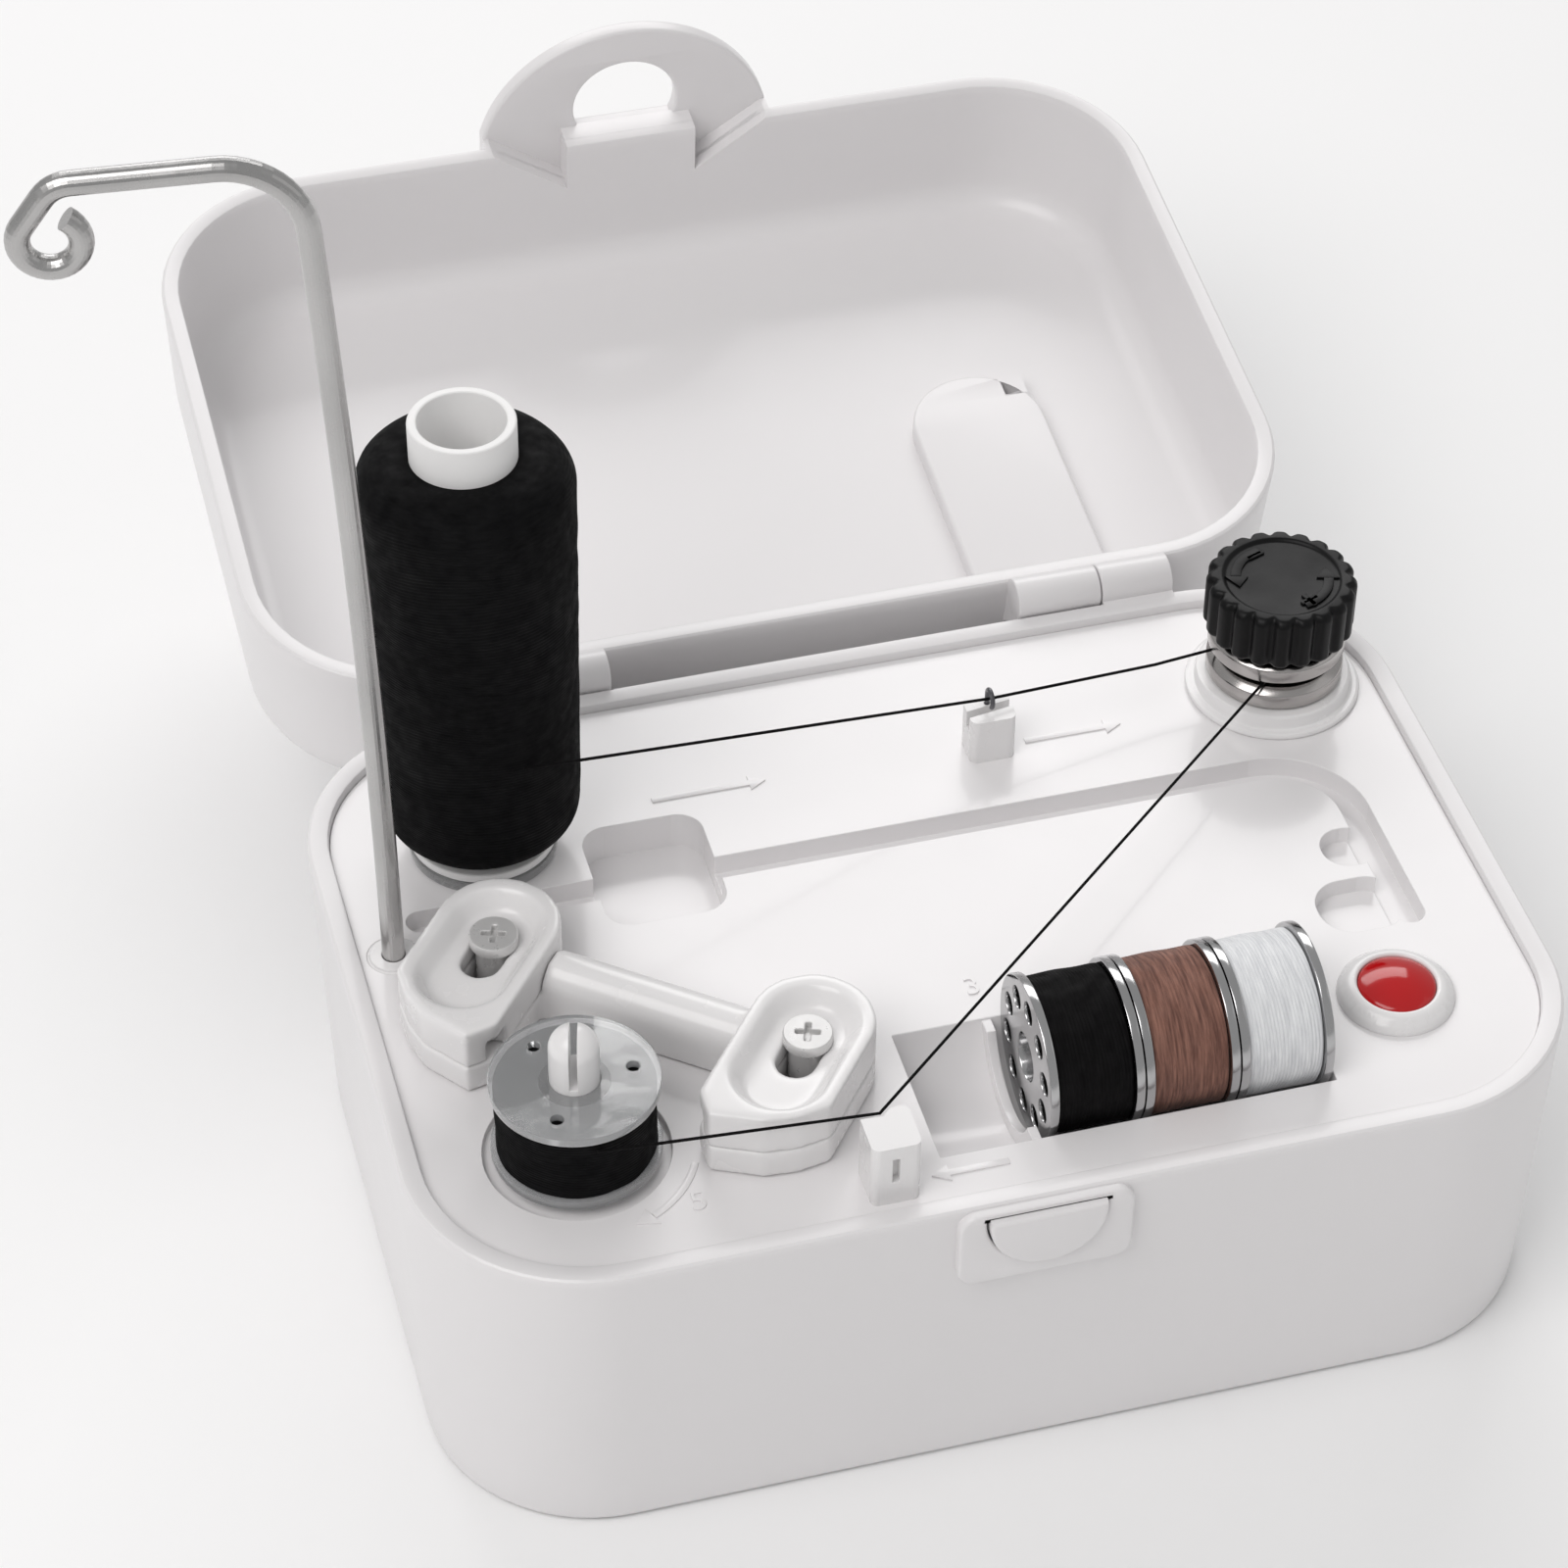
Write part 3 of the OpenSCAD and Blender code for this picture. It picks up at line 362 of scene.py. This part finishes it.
def joined(objs, name):
    """One mesh object holding several, each in its place"""
    b = bmesh.new()
    for o in objs:
        mesh = o.data.copy()
        mesh.transform(o.matrix_world)
        b.from_mesh(mesh)
        bpy.data.objects.remove(o)
    mesh = bpy.data.meshes.new(name)
    b.to_mesh(mesh)
    b.free()
    obj = bpy.data.objects.new(name, mesh)
    bpy.context.collection.objects.link(obj)
    return obj


def moved(obj, matrix):
    obj.data.transform(matrix)
    return obj


def shift(x, y, z):
    return Matrix.Translation(Vector((x, y, z)) * MM)


def arc(cx, cy, r, a0, a1, n):
    """Points on a circle's arc between two angles, in degrees"""
    return [(cx + r * math.cos(math.radians(a0 + (a1 - a0) * i / n)),
             cy + r * math.sin(math.radians(a0 + (a1 - a0) * i / n))) for i in range(n + 1)]


def rounded_line(points, radius, n=5):
    """A 2-D open polyline with its inner corners rounded"""
    out = [points[0]]
    for i in range(1, len(points) - 1):
        p0, p1, p2 = (Vector(points[i + k]) for k in (-1, 0, 1))
        a, b = (p0 - p1), (p2 - p1)
        r = radius[i] if isinstance(radius, (list, tuple)) else radius
        if r <= 0 or a.length < 1e-6 or b.length < 1e-6:
            out.append(tuple(p1))
            continue
        t = min(r, 0.45 * a.length, 0.45 * b.length)
        q0, q2 = p1 + a.normalized() * t, p1 + b.normalized() * t
        for k in range(n + 1):
            s = k / n
            out.append(tuple(q0 * (1 - s) ** 2 + p1 * 2 * s * (1 - s) + q2 * s ** 2))
    out.append(points[-1])
    return out


def lathe(name, profile, steps=96, radius_at=None):
    """Turns a profile of (r, z) about Z; closed at r = 0 ends"""
    verts, faces, rings = [], [], []
    for r, z in profile:
        if r < 1e-6:
            rings.append([len(verts)])
            verts.append((0, 0, z))
        else:
            rings.append(list(range(len(verts), len(verts) + steps)))
            for k in range(steps):
                a = 2 * math.pi * k / steps
                reach = radius_at(r, a) if radius_at else r
                verts.append((reach * math.cos(a), reach * math.sin(a), z))
    for i in range(len(rings) - 1):
        a, b = rings[i], rings[i + 1]
        for k in range(steps):
            j = (k + 1) % steps
            if len(a) == 1 and len(b) == 1:
                continue
            if len(a) == 1:
                faces.append((a[0], b[k], b[j]))
            elif len(b) == 1:
                faces.append((a[k], b[0], a[j]))
            else:
                faces.append((a[k], b[k], b[j], a[j]))
    obj = from_data(name, verts, faces)
    clean(obj.data, weld=False)
    return obj


def outline(w, d, r):
    """Points round a rounded rectangle, anticlockwise, always the same number"""
    corner, along = 14, 12
    pts = []
    corners = [(w / 2 - r, d / 2 - r, 0), (-w / 2 + r, d / 2 - r, 90),
               (-w / 2 + r, -d / 2 + r, 180), (w / 2 - r, -d / 2 + r, 270)]
    for i, (cx, cy, a0) in enumerate(corners):
        bend = arc(cx, cy, r, a0, a0 + 90, corner)
        nx, ny, na = corners[(i + 1) % 4]
        start = Vector(bend[-1])
        end = Vector(arc(nx, ny, r, na, na + 90, 1)[0])
        pts += bend
        pts += [tuple(start.lerp(end, k / along)) for k in range(1, along)]
    return pts


def shell(name, profile, least=2.0, split=None):
    """Sweeps a closed line of (inset, z) points round the case's outline. A split leaves out the band
    before that point and closes the two rings beside it with flat faces"""
    verts, faces, rings = [], [], []
    for inset, z in profile:
        ring = outline(CASE_W - 2 * inset, CASE_D - 2 * inset, max(CORNER_R - inset, least))
        rings.append(range(len(verts), len(verts) + len(ring)))
        verts += [(x, y, z) for x, y in ring]
    n = len(rings[0])
    for i, a in enumerate(rings):
        if split and i == split - 1:
            continue
        b = rings[(i + 1) % len(rings)]
        faces += [(a[k], a[(k + 1) % n], b[(k + 1) % n], b[k]) for k in range(n)]
    if split:
        faces += [tuple(rings[split - 1]), tuple(reversed(rings[split]))]
    return merge(from_data(name, verts, faces))


def plate(name, loops, thick, bevel, matrix=None, fine=3):
    """A flat plate with holes and rounded edges, standing on z = 0 of its own frame"""
    curve = bpy.data.curves.new(name, "CURVE")
    curve.dimensions = "2D"
    curve.fill_mode = "BOTH"
    curve.extrude = (thick / 2 - bevel) * MM
    curve.bevel_depth = bevel * MM
    curve.bevel_resolution = fine
    curve.offset = -bevel * MM
    for loop in loops:
        spline = curve.splines.new("POLY")
        spline.points.add(len(loop) - 1)
        for p, (x, y) in zip(spline.points, loop):
            p.co = (x * MM, y * MM, 0, 1)
        spline.use_cyclic_u = True
    obj = bpy.data.objects.new(name, curve)
    bpy.context.collection.objects.link(obj)
    obj = baked(obj)
    obj.data.transform(shift(0, 0, thick / 2))
    if matrix is not None:
        obj.data.transform(matrix)
    return obj


def prism_x(name, points, x0, x1):
    """A prism along X from (y, z) points"""
    n = len(points)
    verts = [(x0, y, z) for y, z in points] + [(x1, y, z) for y, z in points]
    faces = [tuple(range(n)), tuple(range(2 * n - 1, n - 1, -1))]
    faces += [(i, i + n, (i + 1) % n + n, (i + 1) % n) for i in range(n)]
    return merge(from_data(name, verts, faces))


def rod_x(name, r, x0, x1, y, z, bevel=0.3):
    """A round rod along X"""
    profile = rounded_line([(0, 0), (r, 0), (r, x1 - x0), (0, x1 - x0)], bevel, 3)
    obj = lathe(name, profile, 40)
    turn = Matrix.Rotation(math.radians(90), 4, "Y")
    return moved(obj, shift(x0, y, z) @ turn)


def plain(node, mat):
    """Gives a carried-over solid its material and returns it"""
    obj = nodes[node]
    for slot in obj.material_slots:
        slot.material = mats[mat]
    return obj


def soften(node, mat, width, angle=35, fine=2):
    """Gives a carried-over solid rounded edges as well"""
    obj = plain(node, mat)
    weld = obj.modifiers.new("weld", "WELD")
    weld.merge_threshold = 1e-6
    flat = obj.modifiers.new("flat", "DECIMATE")
    flat.decimate_type = "DISSOLVE"
    flat.angle_limit = math.radians(0.6)
    bevel = obj.modifiers.new("round", "BEVEL")
    bevel.width = width * MM
    bevel.segments = fine
    bevel.limit_method = "ANGLE"
    bevel.angle_limit = math.radians(angle)
    bevel.harden_normals = False
    bevel.use_clamp_overlap = True
    bevel.miter_outer = "MITER_ARC"


def round_off(node, mat):
    """Gives a carried-over moulding soft, worn edges all round"""
    obj = plain(node, mat)
    skin = obj.modifiers.new("skin", "REMESH")
    skin.mode = "VOXEL"
    skin.voxel_size = 0.3 * MM
    skin.use_smooth_shade = True
    ease = obj.modifiers.new("ease", "SMOOTH")
    ease.factor = 0.5
    ease.iterations = 26


set_camera()
set_stage()


# ---------------------------------------------------------------- case

def half_moon_loop(r, centre_z, flat_z):
    """Half-moon outline in (x, z): flat on top, round below"""
    a = math.degrees(math.asin((flat_z - centre_z) / r))
    return arc(0, centre_z, r, a, -180 - a, 40)


def facing_front(y):
    """Takes a plate drawn in (x, z) to a place facing -Y, its outer face at y"""
    turn = Matrix.Rotation(math.radians(90), 4, "X")
    return shift(0, y, 0) @ turn


def hinge_side(s, span, web):
    """A knuckle and the web that carries it, on one side of the middle plane"""
    x0, x1 = sorted((s * span[0], s * span[1]))
    return [prism_x("web", web, x0 + 0.02, x1 - 0.02),
            rod_x("knuckle", KNUCKLE_R, x0, x1, hinge.y, hinge.z)]


def hinge_relief(start, end):
    """Round cuts on both sides that clear the other half's knuckles"""
    return [rod_x("relief", RELIEF_R, min(s * start, s * end), max(s * start, s * end), hinge.y, hinge.z, 0)
            for s in (-1, 1)]


def build_case():
    def lean(z):
        return DRAFT * (1 - z / CASE_H)

    outer = [(DRAFT + 1.1, 0), (DRAFT + 0.5, 0.15), (DRAFT + 0.15, 0.55), (lean(1.3), 1.3)]
    outer += [(lean(z), z) for z in (6, 14, 24, 34, CASE_H - 1.2)]
    outer += [(0.02, CASE_H - 0.55), (0.16, CASE_H - 0.2), (0.45, CASE_H)]
    # The rim's inner lip, then the ledge that carries the deck
    inner = [(2.35, CASE_H), (2.62, CASE_H - 0.12), (2.77, CASE_H - 0.4), (2.8, CASE_H - 1.3),
             (2.8, CASE_H - 3.3), (4.5, CASE_H - 3.45), (4.6, CASE_H - 6.3), (2.9, CASE_H - 6.5)]
    inner += [(2.7 + lean(z), z) for z in (34, 20, 8)]
    inner += [(2.75 + DRAFT, 0.3), (2.5 + DRAFT, 0)]
    obj = shell("case_shell", outer + inner)
    back = CASE_D / 2
    web = [(back - 1.8, CASE_H - 8), (back - 0.4, CASE_H - 8), (hinge.y + 2.2, hinge.z - 1.9),
           (hinge.y, hinge.z), (back - 1.8, CASE_H - 0.1)]
    adds = hinge_side(-1, CASE_KNUCKLE, web) + hinge_side(1, CASE_KNUCKLE, web)
    moon_loop = half_moon_loop(MOON_R, MOON_Z, MOON_FLAT)
    moon = plate("moon", [moon_loop], 3, 0.01, facing_front(-back + 1.0), 1)
    cut_away(obj, hinge_relief(27.5, 39.3) + [moon])
    boss = plate("boss", [corner_loop(21.4, 11.4, 2.2, 0, CASE_H - 6.1), moon_loop], 2.2, 0.45,
                 facing_front(-back + 1))
    obj = joined([obj, boss] + adds, "case_shell")
    return finish_piece(obj, "case", "shell", ["lower_case"], 32)


def corner_loop(w, d, r, cx, cy, n=8):
    """Points round a small rounded rectangle about a centre"""
    pts = []
    for sx, sy, a in ((1, 1, 0), (-1, 1, 90), (-1, -1, 180), (1, -1, 270)):
        pts += arc(cx + sx * (w / 2 - r), cy + sy * (d / 2 - r), r, a, a + 90, n)
    return pts


def build_latch_pad():
    lo, hi = low("latch_pad"), high("latch_pad")
    along_y = Matrix.Rotation(math.radians(90), 4, "Z")
    face = plate("face", [half_moon_loop(MOON_R - 0.25, MOON_Z - 0.05, MOON_FLAT - 0.2)], 2.0, 0.45,
                 facing_front(lo.y + 2.0))
    stem = rod_x("stem", 2.3, 0, 4.2, 0, 0, 0.2)
    moved(stem, shift(0, lo.y + 1.8, LATCH_Z) @ along_y)
    clip = rod_x("clip", 3.0, 0, 1, 0, 0, 0.2)
    moved(clip, shift(0, hi.y - 1, LATCH_Z) @ along_y)
    obj = joined([face, stem, clip], "latch_pad_round")
    return finish_piece(obj, "latch", "shell", ["latch_pad"])


# ---------------------------------------------------------------- lid

def lid_profile():
    """The lid's outer and inner lines as (inset, z), shut, each from the rim to the flat top or back"""
    base, top = LID_BASE, LID_TOP
    outer_r, inner_r = 5.6, 4.4
    outer = [(0.45, base), (0.16, base + 0.2), (0.02, base + 0.55)]
    outer += [(0.8 * t, base + 0.6 + (top - 6.2 - base) * t) for t in (0.1, 0.3, 0.5, 0.7, 0.9, 1.0)]
    for a in (8, 18, 30, 42, 54, 66, 78, 90):
        turn = math.radians(a)
        outer.append((0.8 + outer_r * (1 - math.cos(turn)), top - outer_r + outer_r * math.sin(turn)))
    outer += [(14, top), (30, top)]
    inner = [(30, top - LID_TOP_T), (14, top - LID_TOP_T)]
    for a in (90, 76, 62, 48, 34, 20, 8):
        turn = math.radians(a)
        inner.append((3.4 + inner_r * (1 - math.cos(turn)),
                      top - LID_TOP_T - inner_r + inner_r * math.sin(turn)))
    inner += [(2.5 + 0.8 * t, base + 0.6 + (top - 7.2 - base) * t) for t in (0.95, 0.7, 0.45, 0.2, 0.05)]
    inner += [(2.45, base + 0.4), (2.32, base + 0.14), (2.05, base)]
    return outer, inner


def lid_flap():
    """Half-moon flap with a D-shaped hole, and the ledge with the square catch block behind it"""
    base = LID_BASE
    front = -CASE_D / 2 - 4.1
    flap_r, edge, slope, block, rise = 21.9, 21.2, 20.4, 9.6, 7.6
    angle = math.degrees(math.acos(edge / flap_r))
    flap_loop = arc(0, base + 5.6, flap_r, -angle, -180 + angle, 60)
    flap_loop += [(-edge, base + 8.2), (1.0 - edge, base + 9.2), (edge - 1.0, base + 9.2),
                  (edge, base + 8.2)]
    hole = half_moon_loop(7.6, base - 2.8, base + 0.4)
    flap = plate("flap", [flap_loop, hole], 2.4, 0.5, facing_front(front + 2.4))
    ledge_loop = [(-edge, base), (-slope, base), (-block, base + rise), (-block, base), (block, base),
                  (block, base + rise), (slope, base), (edge, base), (edge, base + 9), (-edge, base + 9)]
    ledge = plate("ledge", [ledge_loop], 3.4, 0.15, facing_front(front + 5.2))
    notches = []
    for s in (-1, 1):
        notch = [(s * slope, base - 1), (s * slope, base), (s * block, base + rise), (s * block, base - 1)]
        notches.append(plate("notch", [notch], 5.3, 0.02, facing_front(-CASE_D / 2 + 3.6), 1))
    return ledge, flap, notches


def lid_pad():
    """Raised pad on the lid's inside, with a small square notch"""
    x, y, r = 39.5, 2.4, 9.6
    loop = arc(x, y, r, 180, 360, 32) + [(x + r, 41.0), (x - r, 41.0)]
    square = [(44.9, -5.2), (47.5, -5.2), (47.5, -2.6), (44.9, -2.6)]
    return plate("pad", [loop, square], 3.2, 0.5, shift(0, 0, LID_TOP - LID_TOP_T - 2.6))


def build_lid():
    outer, inner = lid_profile()
    obj = shell("lid_shell", outer + inner, 3, len(outer))
    ledge, flap, notches = lid_flap()
    cut_away(obj, hinge_relief(39.3, 49.5) + notches)
    back = CASE_D / 2
    web = [(back - 1.6, LID_BASE + 0.2), (hinge.y, hinge.z - 0.4), (hinge.y + 2.2, hinge.z + 1.9),
           (back - 0.4, LID_BASE + 8), (back - 1.6, LID_BASE + 8)]
    pieces = [obj, ledge, flap] + hinge_side(-1, LID_KNUCKLE, web) + hinge_side(1, LID_KNUCKLE, web)
    obj = joined(pieces + [lid_pad()], "lid_shell")
    swing = Matrix.Rotation(math.radians(-LID_OPEN), 4, "X")
    moved(obj, shift(0, hinge.y, hinge.z) @ swing @ shift(0, -hinge.y, -hinge.z))
    return finish_piece(obj, "lid", "shell", ["lid"], 32)


build_case()
build_latch_pad()
build_lid()


# ---------------------------------------------------------------- deck

soften("deck_plate", "deck", 0.35, 40, 3)


def raised(name, loop, matrix=None):
    """A mark that stands a little above the deck"""
    return plate(name, [loop], MARK_H, 0.05, matrix or shift(0, 0, DECK - MARK_SINK), 1)


def arrow_loop(length):
    """Flat arrow along +X"""
    head, half, wide = 2.2, 0.45, 1.3
    return [(0, -half), (length - head, -half), (length - head, -wide), (length, 0),
            (length - head, wide), (length - head, half), (0, half)]


def digit(text, x, y):
    """A plain raised numeral"""
    curve = bpy.data.curves.new("digit", "FONT")
    curve.body = text
    curve.size = 4.2 * MM
    curve.extrude = MARK_H / 2 * MM
    curve.align_x = "CENTER"
    curve.align_y = "CENTER"
    obj = bpy.data.objects.new("digit", curve)
    bpy.context.collection.objects.link(obj)
    return moved(baked(obj), shift(x, y, DECK + 0.08))


def polar(r, a, cx=0, cy=0):
    """A point at a radius and an angle in degrees from a centre"""
    return cx + r * math.cos(math.radians(a)), cy + r * math.sin(math.radians(a))


def build_marks():
    parts = []
    for x, y, turn, length in ((-27.7, 28.6, 0, 15), (21.6, 27.3, 0, 13), (-2.2, -42.5, 180, 9.5)):
        place = shift(x, y, DECK - MARK_SINK) @ Matrix.Rotation(math.radians(turn), 4, "Z")
        parts.append(raised("arrow", arrow_loop(length), place))
    x, y = spindle.x, spindle.y
    parts.append(raised("bend", arc(x, y, 14.5, -24, -64, 24) + arc(x, y, 13.6, -64, -24, 24)))
    parts.append(raised("tip", [polar(12.6, -64.5, x, y), polar(15.5, -64.5, x, y), polar(14, -74, x, y)]))
    parts += [digit("3", 2.0, -13.8), digit("4", -12.3, -34.6), digit("5", -39, -39.4)]
    obj = joined(parts, "deck_marks")
    return finish_piece(obj, "case", "deck")


build_marks()


# ---------------------------------------------------------------- thread windings

def winding_radius(a, z, reach, floor, slant, wobble):
    """Surface of laid turns, sloping gently, at an angle and a height"""
    lay = slant * math.sin(a + 0.6) + 0.35 * slant * math.sin(2 * a + z * 0.21)
    turn = abs(math.sin(math.pi * (z + lay) / TURN_PITCH))
    ridge = TURN_PITCH * 0.42 * (turn ** 0.6 - 1)
    lump = wobble * noise.noise(Vector((2.2 * math.cos(a), 2.2 * math.sin(a), z * 0.35)))
    return max(reach + ridge * 0.6 + lump - 0.02, floor)


def winding(name, core, outer, z0, z1, steps, shoulder, slant, wobble, taper=0.0):
    """A wound body with rounded shoulders, which may narrow towards its foot"""
    count = int((z1 - z0) / TURN_PITCH * 5)
    angles = [2 * math.pi * k / steps for k in range(steps)]
    verts, faces = [], []
    for i in range(count + 1):
        z = z0 + (z1 - z0) * i / count
        edge = min(z1 - z, z - z0)
        reach = outer - taper * (z1 - z) / (z1 - z0)
        if edge < shoulder:
            reach -= shoulder - math.sqrt(max(shoulder ** 2 - (shoulder - edge) ** 2, 0))
        for a in angles:
            r = winding_radius(a, z, reach, core + 0.1, slant, wobble)
            verts.append((r * math.cos(a), r * math.sin(a), z))
    base = len(verts)
    for z in (z0, z1):
        verts += [(core * math.cos(a), core * math.sin(a), z) for a in angles]
    for k in range(steps):
        j = (k + 1) % steps
        faces += [(i * steps + k, i * steps + j, (i + 1) * steps + j, (i + 1) * steps + k)
                  for i in range(count)]
        faces.append((base + k, base + j, j, k))
        faces.append((count * steps + k, count * steps + j, base + steps + j, base + steps + k))
        faces.append((base + steps + k, base + steps + j, base + j, base + k))
    return merge(from_data(name, verts, faces))


def build_windings():
    lo, hi = low("spool_thread"), high("spool_thread")
    obj = winding("spool_winding", 6.5, (hi.x - lo.x) / 2 + 0.28, lo.z, hi.z, 150, 4.8, 2.2, 0.12, 0.9)
    moved(obj, shift(spool.x, spool.y, 0))
    finish_piece(obj, "spool", "thread_spool", ["spool_thread"], 180)

    lo, hi = low("bobbin_thread"), high("bobbin_thread")
    obj = winding("bobbin_winding", BOBBIN_CORE_R, BOBBIN_WOUND_R, lo.z, hi.z, 110, 0.3, 0.5, 0.16)
    moved(obj, shift(spindle.x, spindle.y, 0))
    finish_piece(obj, "spindle", "thread_spool", ["bobbin_thread"], 180)

    tray_turn = Matrix.Rotation(math.radians(90), 4, "Y")
    for i, shade in enumerate(("black", "brown", "white"), 1):
        node = f"stored_thread_{i}"
        lo, hi, centre = low(node), high(node), middle(node)
        obj = winding(f"stored_winding_{i}", BOBBIN_CORE_R, BOBBIN_WOUND_R, 0, hi.x - lo.x, 110,
                      0.3, 0.7, 0.16)
        moved(obj, shift(lo.x, centre.y, centre.z) @ tray_turn)
        finish_piece(obj, f"stored_{i}", f"thread_{shade}", [node], 180)


build_windings()


# ---------------------------------------------------------------- carried-over solids

# Node, material and width of its rounded edges, in mm
for name, mat, width in (
        ("base_plate", "base", 0.2), ("base_screws", "screw", 0.15), ("rubber_feet", "rubber", 0.2),
        ("battery_door", "base", 0.15), ("door_screw", "screw", 0), ("battery_box", "base", 0.2),
        ("battery_cells", "cell", 0.2), ("battery_contacts", "steel", 0.1), ("hinge_pins", "steel", 0),
        ("latch_spring", "steel", 0), ("motor_can", "steel", 0.3), ("motor_end_cap", "dark", 0.2),
        ("motor_shaft", "steel", 0), ("motor_pulley", "brass", 0), ("motor_saddle", "base", 0.3),
        ("saddle_screws", "screw", 0.1), ("drive_belt", "rubber", 0), ("driven_pulley", "part", 0.1),
        ("spindle_shaft", "steel", 0), ("spindle_bush", "brass", 0.1), ("spindle_foot", "brass", 0.1),
        ("spindle_tip", "part", 0.12), ("bobbin", "clear", 0.15), ("spool_post", "part", 0.3),
        ("spool_pad", "clear", 0.3), ("spool_tube", "tube", 0.25), ("guide_socket", "part", 0.15),
        ("wire_guide", "rod", 0), ("tension_base", "part", 0.4), ("tension_stud", "steel", 0),
        ("tension_nut", "steel", 0.1), ("lower_disc", "disc", 0.15), ("upper_disc", "disc", 0.15),
        ("tension_spring", "steel", 0), ("rear_guide", "part", 0.2), ("rear_hook", "eye", 0),
        ("front_guide", "part", 0.2),
        ("yoke_screws", "screw", 0.15), ("stop_switch", "dark", 0.2), ("button_ring", "part", 0.15),
        ("start_button", "red", 0.2), ("button_spring", "steel", 0), ("start_switch", "dark", 0.2),
        ("stored_bobbin_1", "chrome", 0.15), ("stored_bobbin_2", "chrome", 0.15),
        ("stored_bobbin_3", "chrome", 0.15), ("wiring", "wire_red", 0), ("thread_run", "thread_black", 0)):
    if width:
        soften(name, mat, width)
    else:
        plain(name, mat)
for name in ("stop_yoke", "yoke_caps"):
    round_off(name, "part")


# ---------------------------------------------------------------- tension knob

def build_knob():
    z0, z1 = low("tension_knob").z, high("tension_knob").z
    big = (high("tension_knob").x - low("tension_knob").x) / 2
    flutes = 20
    flute_depth = 0.7125

    def fluted(r, a):
        if r < 8.0:
            return r
        return r - flute_depth * (0.5 - 0.5 * math.cos(flutes * a)) ** 2.2 - 0.05

    # Section as (r, z) and how far each corner is rounded
    section = [((2.05, z0 + 6.8), 0), ((2.05, z0 + 3.6), 0), ((4.4, z0 + 3.4), 0.2), ((4.4, z0), 0.2),
               ((big - 0.4, z0), 0.3), ((big, z0 + 0.5), 0.4), ((big, z1 - 0.7), 0.5),
               ((big - 0.6, z1), 0.5), ((7.7, z1), 0.2), ((7.3, z1 - 0.35), 0.2), ((0.01, z1 - 0.35), 0)]
    body = rounded_line([p for p, r in section], [r for p, r in section], 4)
    obj = lathe("knob_body", [(0.0, z0 + 6.8)] + body[:-1] + [(0.0, z1 - 0.35)], 320, fluted)
    parts = [moved(obj, shift(knob.x, knob.y, 0))]

    # Two curved arrows, a plus and a minus
    face = shift(knob.x, knob.y, z1 - 0.4)
    for start in (100, 280):
        end = start + 64
        bend = arc(0, 0, 6.6, start, end, 24) + arc(0, 0, 5.3, end, start, 24)
        parts.append(plate("bend", [bend], 0.3, 0.06, face, 1))
        parts.append(plate("tip", [[polar(4.4, end), polar(7.4, end), polar(5.9, end + 20)]], 0.3, 0.06,
                           face, 1))
    for x, y, w, d in ((0, -5.4, 2.6, 0.7), (0, -5.4, 0.7, 2.6), (0, 5.4, 2.6, 0.7)):
        mark = [(px * 0.94 - py * 0.34, px * 0.34 + py * 0.94)
                for px, py in corner_loop(w, d, 0.2, x, y, 3)]
        parts.append(plate("mark", [mark], 0.3, 0.05, face, 1))
    obj = joined(parts, "knob_fluted")
    return finish_piece(obj, "knob", "black", ["tension_knob"], 50)


build_knob()
